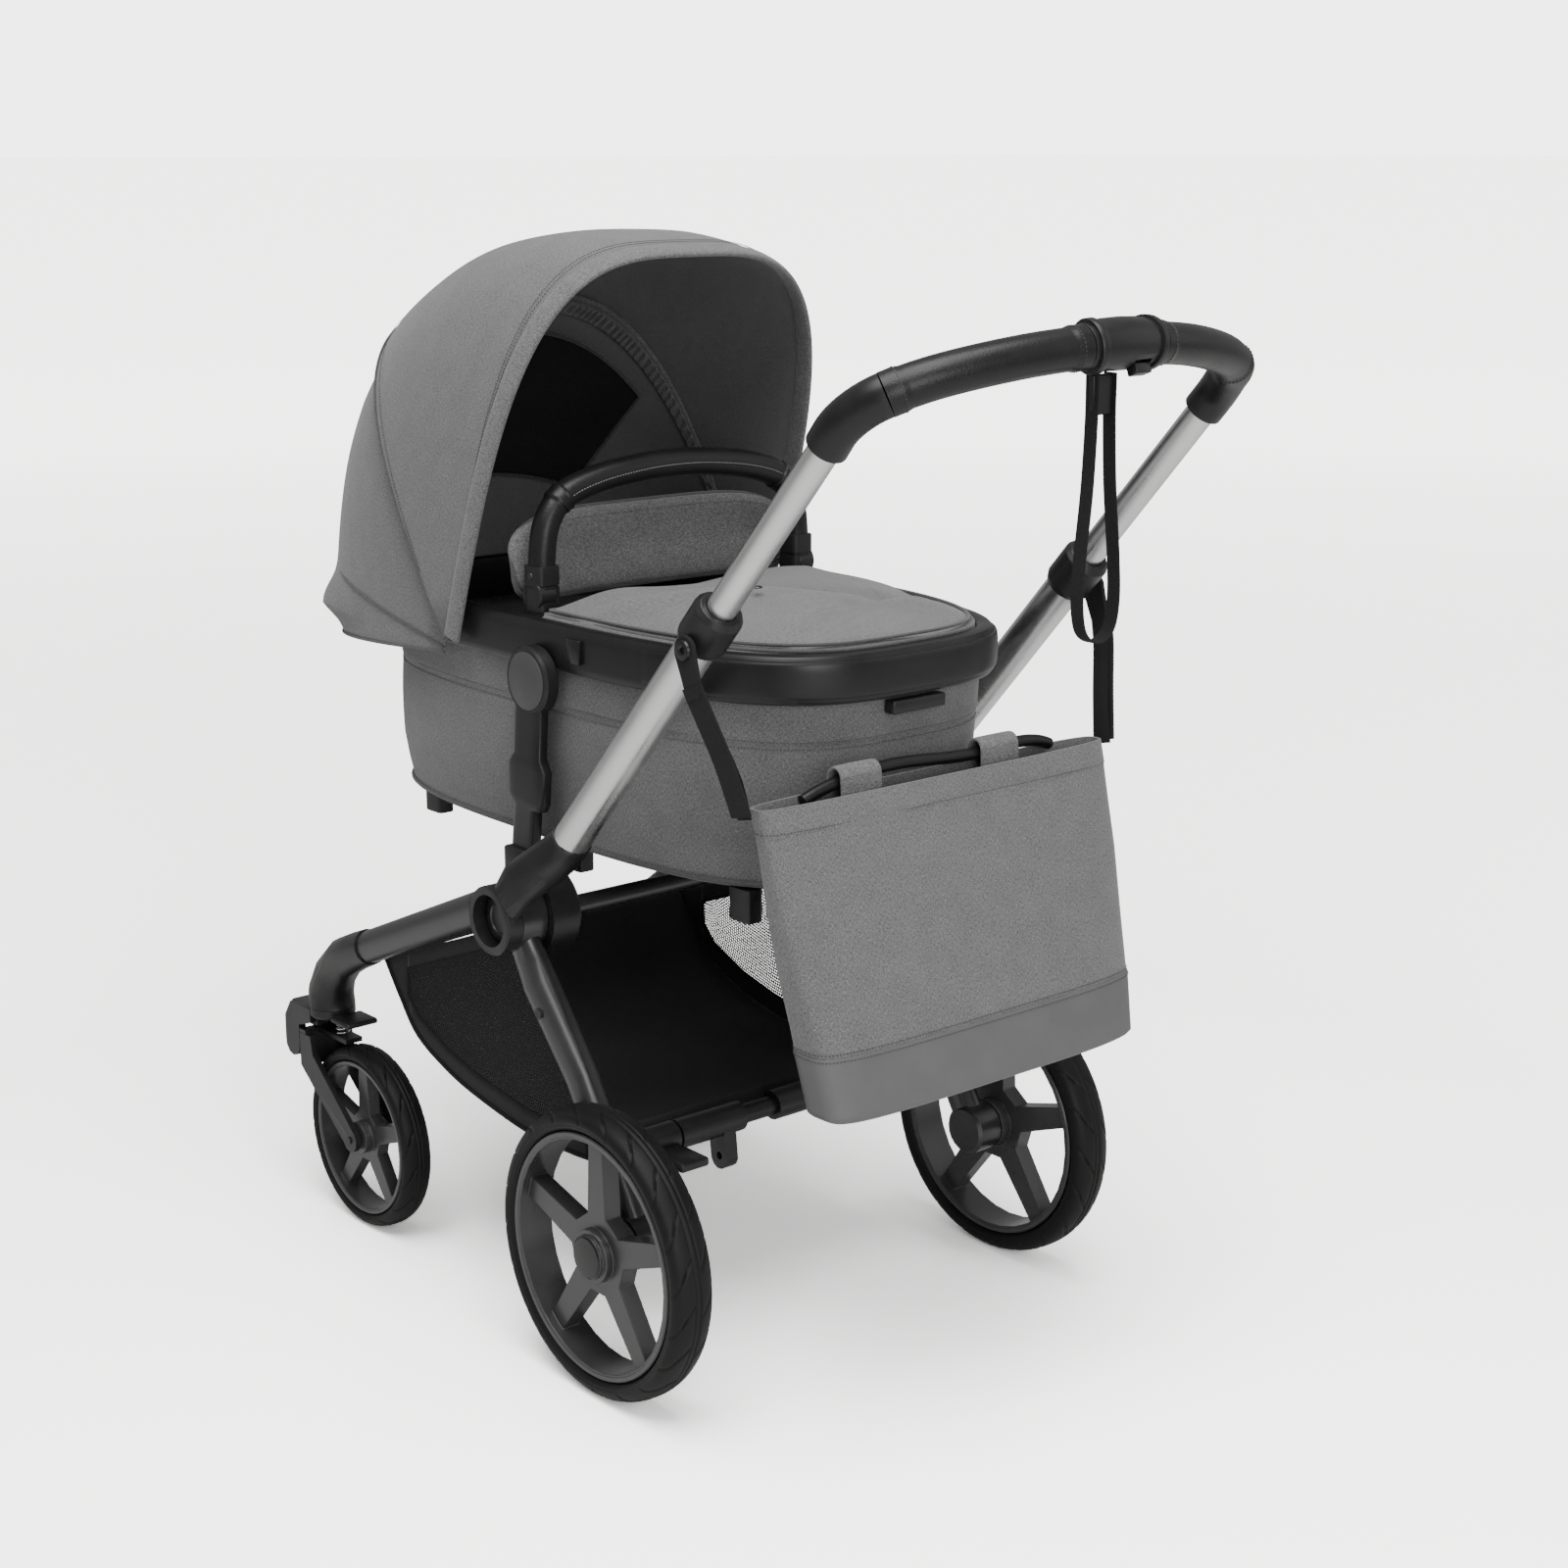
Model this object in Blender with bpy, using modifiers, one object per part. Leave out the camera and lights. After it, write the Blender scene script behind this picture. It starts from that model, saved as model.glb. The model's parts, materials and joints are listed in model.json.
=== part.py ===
"""Baby stroller with a carrycot, modelled at real size in metres, +Z up.

The small front wheels and the carrycot's head end point to -Y, the handlebar to +Y, and the
stroller's left side is +X. Every shape is described from the middle of the rear axle; the empty
"stroller" carries them all to the place where the box of the whole object is centred.
"""

import math

import bmesh
import bpy
from mathutils import Matrix, Vector

# ---------------------------------------------------------------- driving dimensions
REAR_AXLE_Y = 0.1396
GAP = 0.0003

REAR_WHEEL = dict(radius=0.1510, half=0.0236, track=0.2786, y=0.0, spoke=0.0110, thick=0.0100)
FRONT_WHEEL = dict(radius=0.1073, half=0.0180, track=0.2322, y=-0.5200, spoke=0.0085, thick=0.0075)

PIVOT = Vector((0.0, -0.1790, 0.4560))
PUSH_ANGLE = math.radians(47.9)
PUSH_X = 0.2425
PUSH_TUBE_RADIUS = 0.0195
SLIDE_TUBE_RADIUS = 0.0145
SHROUD_END = 0.1315
PUSH_TUBE_END = 0.4395
COLLAR_END = 0.4870
SLIDE_TUBE_START = 0.3000
SLIDE_TUBE_END = 0.7000
ELBOW_HALVES = (0.0198, 0.0198)
GRIP_HALVES = (0.0190, 0.0190)

HUB_RADIUS = 0.0460
HUB_X = (0.2000, 0.2368)
EYE_X = (0.2375, 0.2672)
RING_X = (0.2680, 0.2870)

FRONT_SLOPE = math.radians(23.06)
FRONT_OFFSET = 0.0189
FRONT_TUBE_RADIUS = 0.0190
SOCKET_HALVES = (0.0184, 0.0198)
STEM = Vector((0.2320, -0.5950, 0.2475))
FORK_PIVOT = Vector((0.2320, -0.6430, 0.1940))

RAIL_OUTER_X = 0.2050
RAIL_WALL = 0.0180
RAIL_Z = (0.7070, 0.7550)
RAIL_Y = (-0.6000, 0.1550)
TUB_BOTTOM = 0.5120
CANOPY_AXIS = Vector((0.0, -0.3450, 0.7000))
CANOPY_X = 0.2135
TOTE_WALL = 0.0030
CARRY_PIVOT = Vector((0.0, -0.2320, 0.7740))
SIDES = (("left", 1), ("right", -1))

# ---------------------------------------------------------------- scene and materials
for old in list(bpy.data.objects):
    bpy.data.objects.remove(old, do_unlink=True)

parts = bpy.data.collections.new("baby_stroller")
cutters = bpy.data.collections.new("cutters")
bpy.context.scene.collection.children.link(parts)
bpy.context.scene.collection.children.link(cutters)


def make_material(name, colour, roughness, metallic=0.0):
    made = bpy.data.materials.new(name)
    made.use_nodes = True
    shader = made.node_tree.nodes["Principled BSDF"]
    shader.inputs["Base Color"].default_value = (*colour, 1.0)
    shader.inputs["Roughness"].default_value = roughness
    shader.inputs["Metallic"].default_value = metallic
    return made


SILVER = make_material("satin_aluminium", (0.55, 0.55, 0.55), 0.38, 1.0)
GRAPHITE = make_material("graphite_aluminium", (0.16, 0.16, 0.165), 0.42, 0.9)
PLASTIC = make_material("black_plastic", (0.030, 0.030, 0.032), 0.50)
RIM = make_material("rim_plastic", (0.085, 0.085, 0.088), 0.45)
RUBBER = make_material("tyre_rubber", (0.028, 0.028, 0.030), 0.75)
LEATHER = make_material("black_leatherette", (0.022, 0.022, 0.024), 0.45)
FABRIC = make_material("grey_melange", (0.130, 0.130, 0.132), 0.90)
BLACK_FABRIC = make_material("black_fabric", (0.016, 0.016, 0.018), 0.90)
LINING = make_material("mattress_fabric", (0.30, 0.30, 0.30), 0.90)
STEEL = make_material("spring_steel", (0.50, 0.50, 0.50), 0.30, 1.0)

stroller = bpy.data.objects.new("stroller", None)
stroller.location = (0.0, REAR_AXLE_Y, 0.0)
parts.objects.link(stroller)


def make_body(name, joint_point, parent=stroller):
    """An empty on the joint of one moving body; joint_point is measured from the rear axle."""
    empty = bpy.data.objects.new(f"{name}_joint", None)
    parent_point = Vector((0, 0, 0)) if parent is stroller else Vector(parent["joint_point"])
    empty.location = Vector(joint_point) - parent_point
    empty["joint_point"] = tuple(joint_point)
    empty.parent = parent
    parts.objects.link(empty)
    return empty


def add_piece(obj, name, material, body=stroller):
    """Names a shape, gives it its material and hangs it on its body where it stands."""
    obj.name = name
    obj.data.name = name
    obj.data.materials.clear()
    obj.data.materials.append(material)
    obj.parent = body
    if body is not stroller:
        obj.matrix_parent_inverse = Matrix.Translation(-Vector(body["joint_point"]))
    for collection in list(obj.users_collection):
        collection.objects.unlink(obj)
    parts.objects.link(obj)
    return obj


# ---------------------------------------------------------------- shapes
def object_from_bmesh(mesh_in_work, smooth=True):
    bmesh.ops.recalc_face_normals(mesh_in_work, faces=mesh_in_work.faces)
    mesh = bpy.data.meshes.new("shape")
    mesh_in_work.to_mesh(mesh)
    mesh_in_work.free()
    if smooth:
        mesh.shade_smooth()
        mesh.set_sharp_from_angle(angle=math.radians(40))
    obj = bpy.data.objects.new("shape", mesh)
    parts.objects.link(obj)
    return obj


def loft(rings, closed=False):
    """Skin over rings of equally many points; a closed loft joins the last ring to the first."""
    work = bmesh.new()
    rows = [[work.verts.new(point) for point in ring] for ring in rings]
    pairs = list(zip(rows, rows[1:]))
    if closed:
        pairs.append((rows[-1], rows[0]))
    count = len(rows[0])
    for one, two in pairs:
        for i in range(count):
            work.faces.new((one[i], one[(i + 1) % count], two[(i + 1) % count], two[i]))
    if not closed:
        work.faces.new(rows[0])
        work.faces.new(rows[-1])
    return object_from_bmesh(work)


def oval(centre, first, second, half_first, half_second, count=14, power=2.0):
    """Points of a superellipse about a centre, in the plane of two unit directions."""
    points = []
    for i in range(count):
        angle = 2 * math.pi * i / count
        c, s = math.cos(angle), math.sin(angle)
        u = half_first * math.copysign(abs(c) ** (2 / power), c)
        v = half_second * math.copysign(abs(s) ** (2 / power), s)
        points.append(Vector(centre) + u * Vector(first) + v * Vector(second))
    return points


def smooth_path(points, steps=4):
    """Catmull-Rom curve through the given points, with steps stretches between neighbours."""
    points = [Vector(p) for p in points]
    ends = [2 * points[0] - points[1]] + points + [2 * points[-1] - points[-2]]
    found = []
    for a, b, c, d in zip(ends, ends[1:], ends[2:], ends[3:]):
        for i in range(steps):
            t = i / steps
            square = (2 * a - 5 * b + 4 * c - d) * t**2
            cube = (3 * b - a - 3 * c + d) * t**3
            found.append(0.5 * (2 * b + (c - a) * t + square + cube))
    return found + [points[-1]]


def sweep(points, halves, side=(1.0, 0.0, 0.0), count=14, power=2.0, lead_in=None, lead_out=None):
    """A bar along a path; halves gives, for each point, the half width along side and across it.

    The end faces stand square to the path, or to its run on to the lead_in and lead_out points.
    """
    points = [Vector(p) for p in points]
    rings = []
    last = len(points) - 1
    for i, point in enumerate(points):
        before = points[i - 1] if i else Vector(lead_in or point)
        after = points[i + 1] if i < last else Vector(lead_out or point)
        tangent = (after - before).normalized()
        across = tangent.cross(Vector(side)).normalized()
        along = across.cross(tangent).normalized()
        half = halves[i] if isinstance(halves, list) else halves
        rings.append(oval(point, along, across, half[0], half[1], count, power))
    return loft(rings)


def round_tube(points, radius, resolution=2):
    """A curve with a round bevel and filled caps, turned into a mesh so that it can be joined."""
    curve = bpy.data.curves.new("tube", "CURVE")
    curve.dimensions = "3D"
    curve.bevel_depth = radius
    curve.bevel_resolution = resolution
    curve.use_fill_caps = True
    line = curve.splines.new("POLY")
    line.points.add(len(points) - 1)
    for spot, point in zip(line.points, points):
        spot.co = (*point, 1.0)
    return curve_to_mesh(curve)


def plate(outline, x_low, x_high, holes=()):
    """A flat outline of (y, z) points, with holes, standing between two values of x."""
    curve = bpy.data.curves.new("plate", "CURVE")
    curve.dimensions = "2D"
    curve.fill_mode = "BOTH"
    curve.extrude = (x_high - x_low) / 2
    for loop in (outline, *holes):
        line = curve.splines.new("POLY")
        line.use_cyclic_u = True
        line.points.add(len(loop) - 1)
        for spot, (y, z) in zip(line.points, loop):
            spot.co = (y, z, 0.0, 1.0)
    # local x, y and z go to world y, z and x
    turn = Matrix(((0, 0, 1, (x_low + x_high) / 2), (1, 0, 0, 0), (0, 1, 0, 0), (0, 0, 0, 1)))
    return curve_to_mesh(curve, turn)


def curve_to_mesh(curve, placing=None):
    holder = bpy.data.objects.new("curve", curve)
    parts.objects.link(holder)
    bpy.context.view_layer.update()
    graph = bpy.context.evaluated_depsgraph_get()
    mesh = bpy.data.meshes.new_from_object(holder.evaluated_get(graph))
    bpy.data.objects.remove(holder, do_unlink=True)
    work = bmesh.new()
    work.from_mesh(mesh)
    bmesh.ops.remove_doubles(work, verts=work.verts, dist=1e-5)
    if placing is not None:
        bmesh.ops.transform(work, matrix=placing, verts=work.verts)
    return object_from_bmesh(work)


def arc(centre, radius, start, end, count):
    """Points (y, z) on an arc, angles in degrees from +Y towards +Z."""
    found = []
    for i in range(count + 1):
        angle = math.radians(start + (end - start) * i / count)
        found.append((centre[0] + radius * math.cos(angle), centre[1] + radius * math.sin(angle)))
    return found


def turned(profile, centre, axis, steps=32):
    """A profile of (radius, height) points screwed round an axis through centre."""
    area = sum(
        a[0] * b[1] - b[0] * a[1] for a, b in zip(profile, profile[1:] + profile[:1])
    )
    if area > 0:
        profile = profile[::-1]
    open_ended = any(radius == 0 for radius, _ in profile)
    if open_ended:
        while not (profile[0][0] == 0 and profile[-1][0] == 0):
            profile = profile[1:] + profile[:1]
    mesh = bpy.data.meshes.new("profile")
    edges = [(i, i + 1) for i in range(len(profile) - 1)]
    if not open_ended:
        edges.append((len(profile) - 1, 0))
    mesh.from_pydata([(radius, 0.0, height) for radius, height in profile], edges, [])
    obj = bpy.data.objects.new("turned", mesh)
    parts.objects.link(obj)
    screw = obj.modifiers.new("turn", "SCREW")
    screw.steps = screw.render_steps = steps
    screw.use_merge_vertices = True
    screw.merge_threshold = 0.00001
    screw.use_smooth_shade = True
    obj.location = centre
    obj.rotation_euler = Vector((0, 0, 1)).rotation_difference(Vector(axis)).to_euler()
    return obj


def cylinder(centre, axis, radius, length, steps=24, bore=0.0):
    """A round bar centred on a point, or a ring where it has a bore."""
    half = length / 2
    profile = [(bore, -half), (radius, -half), (radius, half), (bore, half)]
    return turned(profile, centre, axis, steps)


def block(low, high, bevel=0.0, turn=None):
    """A box between two corners, with rounded edges, turned about its middle where asked."""
    low, high = Vector(low), Vector(high)
    work = bmesh.new()
    bmesh.ops.create_cube(work, size=1.0)
    size = high - low
    bmesh.ops.scale(work, vec=tuple(abs(v) for v in size), verts=work.verts)
    obj = object_from_bmesh(work, smooth=False)
    obj.location = (low + high) / 2
    if turn is not None:
        obj.rotation_euler = turn
    if bevel:
        rounding = obj.modifiers.new("rounding", "BEVEL")
        rounding.width = bevel
        rounding.segments = 2
    return obj


def into_helpers(obj):
    for collection in list(obj.users_collection):
        collection.objects.unlink(obj)
    cutters.objects.link(obj)
    obj.hide_render = True
    obj.display_type = "WIRE"


def combine(obj, others, operation="UNION"):
    """Joins shapes to an object, or cuts them from it, with live Booleans."""
    for other in others:
        into_helpers(other)
        other.parent = stroller
        step = obj.modifiers.new(operation.lower(), "BOOLEAN")
        step.operation = operation
        step.solver = "EXACT"
        step.object = other
    return obj


def push_point(distance, side=1):
    """A point on the push tube's axis, measured from beside the fold pivot."""
    direction = Vector((0, math.cos(PUSH_ANGLE), math.sin(PUSH_ANGLE)))
    return PIVOT + direction * distance + Vector((side * PUSH_X, 0, 0))


def front_point(distance, side=1):
    """A point on the front tube's axis, measured from beside the fold pivot."""
    direction = Vector((0, -math.cos(FRONT_SLOPE), -math.sin(FRONT_SLOPE)))
    normal = Vector((0, -math.sin(FRONT_SLOPE), math.cos(FRONT_SLOPE)))
    x = 0.2485 - 0.0094 * distance
    return PIVOT + normal * FRONT_OFFSET + direction * distance + Vector((side * x, 0, 0))


# ---------------------------------------------------------------- wheels
def make_wheel(size, name, side, spinning, axle_bore, through):
    """Rim and tyre of one wheel; local +Z of each turned shape points to the outer side."""
    radius, half = size["radius"], size["half"]
    centre = Vector((side * size["track"], size["y"], radius))
    outward = (side, 0, 0)
    seat = 0.845 * radius
    tyre_half = [(seat, half * 0.72), (0.890 * radius, half), (0.955 * radius, half * 0.86),
                 (radius, half * 0.32)]
    tyre = tyre_half + [(r, -h) for r, h in tyre_half[::-1]]
    add_piece(turned(tyre, centre, outward), f"{name}_tyre", RUBBER, spinning)

    barrel_half = half * 0.85
    barrel = [(0.795 * radius, -barrel_half), (seat - GAP, -barrel_half), (seat - GAP, barrel_half),
              (0.795 * radius, barrel_half)]
    rim = turned(barrel, centre, outward)
    hub_radius = 0.028 if through is False else 0.019
    cap = (half - 0.0010) if through is False else half * 0.97
    low = -(half - 0.0012)
    if through:
        hub = [(axle_bore, low), (hub_radius, low), (hub_radius, cap), (axle_bore, cap)]
    else:
        hub = [(0, 0.016), (axle_bore, 0.016), (axle_bore, low), (hub_radius, low), (hub_radius, cap - 0.004),
               (hub_radius - 0.005, cap - 0.004), (hub_radius - 0.005, cap), (0, cap)]
    windows = []
    for spoke in range(5):
        window = []
        for part, (sense, at) in enumerate(((1, spoke), (-1, spoke + 1))):
            turn = math.radians(90 + 72 * at)
            along = Vector((math.cos(turn), math.sin(turn)))
            across = Vector((-math.sin(turn), math.cos(turn))) * sense
            narrow = along * 0.812 * radius + across * size["spoke"]
            wide = along * (hub_radius * 1.45) + across * size["spoke"] * 1.35
            window += [wide, narrow] if part == 0 else [narrow, wide]
        first, last = window[1], window[2]
        start, end = math.atan2(first.y, first.x), math.atan2(last.y, last.x)
        if end < start:
            end += 2 * math.pi
        turns = [start + (end - start) * k / 4 for k in range(1, 4)]
        curve = [Vector((math.cos(turn), math.sin(turn))) * first.length for turn in turns]
        windows.append([window[0], window[1], *curve, window[2], window[3]])
    disc = arc((0, 0), 0.835 * radius, 0, 345, 23)
    middle = arc((0, 0), 0.7 * hub_radius, 0, 330, 11)
    loops = [[(y, z) for y, z in window] for window in windows]
    spokes = plate(disc, -size["thick"], size["thick"], [*loops, middle])
    spokes.location = centre
    combine(rim, [spokes, turned(hub, centre, outward, 20)])
    add_piece(rim, f"{name}_rim", RIM, spinning)


def make_rear_wheels():
    for word, side in SIDES:
        centre = (side * REAR_WHEEL["track"], REAR_WHEEL["y"], REAR_WHEEL["radius"])
        body = make_body(f"rear_wheel_{word}", centre)
        make_wheel(REAR_WHEEL, f"rear_wheel_{word}", side, body, 0.0066, False)


# ---------------------------------------------------------------- front casters
def make_spring(centre, low, high, radius, wire, turns=3):
    count = turns * 10
    points = []
    for i in range(count + 1):
        angle = 2 * math.pi * turns * i / count
        height = low + wire + (high - low - 2 * wire) * i / count
        points.append((centre.x + radius * math.cos(angle), centre.y + radius * math.sin(angle), height))
    return round_tube(points, wire, 0)


def make_casters():
    for word, side in SIDES:
        stem = Vector((side * STEM.x, STEM.y, STEM.z))
        pivot = Vector((side * FORK_PIVOT.x, FORK_PIVOT.y, FORK_PIVOT.z))
        caster = make_body(f"caster_{word}", stem)
        top = stem.z - GAP
        profile = [(0, top - 0.0110), (0.0255, top - 0.0110), (0.0275, top - 0.008), (0.0275, top), (0, top)]
        head = turned(profile, (stem.x, stem.y, 0), (0, 0, 1), 20)
        ear = [(-0.600, top - 0.002), (-0.600, 0.2290), (-0.6270, 0.2200)]
        ear += arc((pivot.y, pivot.z), 0.0160, 10, -190, 6) + [(-0.6585, 0.2250), (-0.6450, top - 0.002)]
        ears = [plate(ear, pivot.x + a, pivot.x + b) for a, b in ((0.0178, 0.0272), (-0.0272, -0.0178))]
        web = block((pivot.x - 0.0200, -0.6560, 0.2225), (pivot.x + 0.0200, -0.5990, top - 0.003), 0.003)
        combine(head, [*ears, web])
        add_piece(head, f"caster_head_{word}", PLASTIC, caster)

        lever_point = Vector((stem.x, stem.y + 0.0300, 0.2400))
        lock = make_body(f"swivel_lock_{word}", lever_point, caster)
        low, high = (stem.x - 0.0210, stem.y + 0.0290, 0.2370), (stem.x + 0.0210, stem.y + 0.0680, 0.2440)
        lever = block(low, high, 0.003)
        add_piece(lever, f"swivel_lock_{word}", PLASTIC, lock)

        fork_body = make_body(f"fork_{word}", pivot, caster)
        wheel = Vector((side * FRONT_WHEEL["track"], FRONT_WHEEL["y"], FRONT_WHEEL["radius"]))
        fork = cylinder(pivot, (1, 0, 0), 0.0125, 0.0344, 16)
        link = block((pivot.x - 0.0172, -0.6430, 0.1850), (pivot.x + 0.0172, -0.6150, 0.2030))
        bridge = block((pivot.x - 0.0280, -0.6245, 0.1725), (pivot.x + 0.0280, -0.6110, 0.2165))
        saddle = block((pivot.x - 0.0110, -0.6200, 0.2122), (pivot.x + 0.0110, -0.5480, 0.2178))
        arm = [(-0.6240, 0.2120), (-0.6240, 0.1720)] + arc((wheel.y, wheel.z), 0.0145, 205, 400, 6)
        arm += [(-0.5960, 0.1900), (-0.6000, 0.2120)]
        arms = [plate(arm, pivot.x + a, pivot.x + b) for a, b in ((0.0215, 0.0285), (-0.0285, -0.0215))]
        axle = cylinder(wheel, (1, 0, 0), 0.0042, 0.0600, 12)
        combine(fork, [link, bridge, saddle, *arms, axle])
        add_piece(fork, f"fork_{word}", PLASTIC, fork_body)

        coil = make_spring(Vector((stem.x, -0.5720, 0)), 0.2182, top - 0.0114, 0.0070, 0.0014)
        add_piece(coil, f"suspension_spring_{word}", STEEL, fork_body)

        spinning = make_body(f"front_wheel_{word}", wheel, fork_body)
        make_wheel(FRONT_WHEEL, f"front_wheel_{word}", side, spinning, 0.0046, True)


# ---------------------------------------------------------------- chassis
def make_chassis():
    for word, side in SIDES:
        profile = [(0, HUB_X[0]), (HUB_RADIUS - 0.004, HUB_X[0]), (HUB_RADIUS, HUB_X[0] + 0.004),
                   (HUB_RADIUS, HUB_X[1]), (0, HUB_X[1])]
        hub = turned(profile, (0, PIVOT.y, PIVOT.z), (side, 0, 0), 24)
        socket = sweep([front_point(0.0378, side), front_point(0.0640, side)], SOCKET_HALVES, count=16)
        x = side * 0.2160
        foot = block((x - 0.0115, -0.2360, 0.4640), (x + 0.0115, -0.1920, 0.5150), 0.003)
        combine(hub, [socket, foot])
        add_piece(hub, f"frame_joint_{word}", PLASTIC)

        start, end = front_point(0.0643, side), front_point(0.3200, side)
        add_piece(sweep([start, end], (0.0178, FRONT_TUBE_RADIUS), count=20), f"front_tube_{word}", GRAPHITE)

        x = side * STEM.x
        path = [front_point(0.3203, side), front_point(0.3500, side), (side * 0.2385, -0.5480, 0.3180),
                (side * 0.2345, -0.5790, 0.2920), (x, STEM.y, 0.2660), (x, STEM.y, STEM.z)]
        halves = [(0.0205, 0.0210), (0.0210, 0.0220), (0.0225, 0.0240), (0.0240, 0.0255), (0.0265, 0.0270),
                  (0.0275, 0.0275)]
        elbow = sweep(path, halves, count=16, lead_in=front_point(0.3000, side))
        add_piece(elbow, f"front_elbow_{word}", PLASTIC)

        make_riser(word, side)
        make_rear_leg(word, side)

    tube = cylinder((0, PIVOT.y, PIVOT.z - 0.004), (1, 0, 0), 0.0105, 2 * (HUB_X[0] - GAP), 16)
    add_piece(tube, "cross_tube", GRAPHITE)


def make_riser(word, side):
    """Post that holds the carrycot: it leans back a little and ends in a round flat head."""
    x = side * 0.2138
    steps = [(-0.2130, 0.5153, 0.0074, 0.0170), (-0.2070, 0.5650, 0.0074, 0.0165),
             (-0.2050, 0.5700, 0.0084, 0.0220), (-0.2010, 0.6180, 0.0084, 0.0225),
             (-0.1995, 0.6230, 0.0074, 0.0155), (-0.1950, 0.6900, 0.0074, 0.0150)]
    rings = [oval((x, y, z), (1, 0, 0), (0, 1, 0), a, b, 14, 3.0) for y, z, a, b in steps]
    post = loft(rings)
    head = turned([(0, 0.2062), (0.0345, 0.2062), (0.0345, 0.2205), (0.0310, 0.2222), (0, 0.2222)],
                  (0, -0.1940, 0.6950), (side, 0, 0), 24)
    combine(post, [head])
    add_piece(post, f"riser_{word}", PLASTIC)


def make_rear_leg(word, side):
    """Leg from the fold joint down to the rear wheel, with its stub axle."""
    axle = Vector((0, REAR_WHEEL["y"], REAR_WHEEL["radius"]))
    eye = turned([(0, EYE_X[0]), (0.0360, EYE_X[0]), (0.0360, EYE_X[1]), (0, EYE_X[1])],
                 (0, PIVOT.y, PIVOT.z), (side, 0, 0), 24)
    down = (axle - PIVOT).normalized()
    length = (axle - PIVOT).length
    steps = [(0.028, 0.2520, 0.0135, 0.0200), (0.052, 0.2515, 0.0140, 0.0200),
             (0.075, 0.2500, 0.0175, 0.0195),
             (0.180, 0.2382, 0.0160, 0.0185), (length, 0.2375, 0.0150, 0.0175)]
    path = [PIVOT + down * s + Vector((side * x, 0, 0)) for s, x, _, _ in steps]
    leg = sweep(path, [(a, b) for _, _, a, b in steps], count=14, power=2.3)
    housing = turned([(0, 0.2215), (0.0240, 0.2215), (0.0275, 0.2250), (0.0275, 0.2535), (0, 0.2535)],
                     axle, (side, 0, 0), 20)
    stub = turned([(0, 0.2500), (0.0062, 0.2500), (0.0062, 0.2920), (0, 0.2920)], axle, (side, 0, 0), 12)
    combine(leg, [eye, housing, stub])
    add_piece(leg, f"rear_leg_{word}", GRAPHITE)


def make_brake():
    """Bar between the rear legs with two sleeves and a drilled tab, and the foot pedal."""
    y, z = -0.0480, 0.2280
    bar = cylinder((0, y, z), (1, 0, 0), 0.0105, 2 * 0.2212, 16)
    sleeves = [cylinder((x, y, z), (1, 0, 0), 0.0160, length, 16)
               for x, length in ((0.1080, 0.0850), (-0.0050, 0.0500))]
    tab = [(y + 0.013, z - 0.004), (y - 0.012, z - 0.004), (y - 0.010, z - 0.030)]
    tab += arc((y + 0.004, z - 0.038), 0.0130, 200, 380, 6)
    ear = plate(tab, 0.0800, 0.0960, [arc((y + 0.005, z - 0.036), 0.0045, 0, 315, 7)])
    combine(bar, [*sleeves, ear])
    add_piece(bar, "rear_cross_bar", PLASTIC)

    pedal_body = make_body("brake_pedal", (0, y, z))
    ring = cylinder((0.1740, y, z), (1, 0, 0), 0.0165, 0.0400, 18, 0.0110)
    paddle = block((0.1560, y + 0.0135, z - 0.0130), (0.1920, y + 0.0640, z - 0.0030), 0.003)
    combine(ring, [paddle])
    add_piece(ring, "brake_pedal", PLASTIC, pedal_body)


def make_basket():
    """Fabric shopping basket: side panels, floor and low rear lip, open above and behind."""
    half, wall = 0.2135, 0.0030
    floor = [(-0.5000, 0.3240), (-0.4700, 0.2850), (-0.4360, 0.2480), (-0.3770, 0.2230), (-0.3190, 0.2090),
             (-0.2260, 0.1960), (-0.1500, 0.1960), (-0.0950, 0.2010)]
    top = [(-0.1620, 0.3700), (-0.2000, 0.3880), (-0.2450, 0.4220)]
    outline = floor + [(-0.0740, 0.2080), (-0.0740, 0.2330), (-0.0800, 0.2400)] + top
    shell = plate(outline, -half, half)
    inner = [(y + wall * 0.6, z + wall * 1.25) for y, z in floor]
    inner += [(-0.0774, 0.2115), (-0.0774, 0.2345), (0.0200, 0.2345), (0.0200, 0.5000), (-0.5600, 0.5000),
              (-0.5600, 0.3300)]
    space = plate(inner, wall - half, half - wall)
    combine(shell, [space], "DIFFERENCE")
    add_piece(shell, "basket", BLACK_FABRIC)


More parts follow.
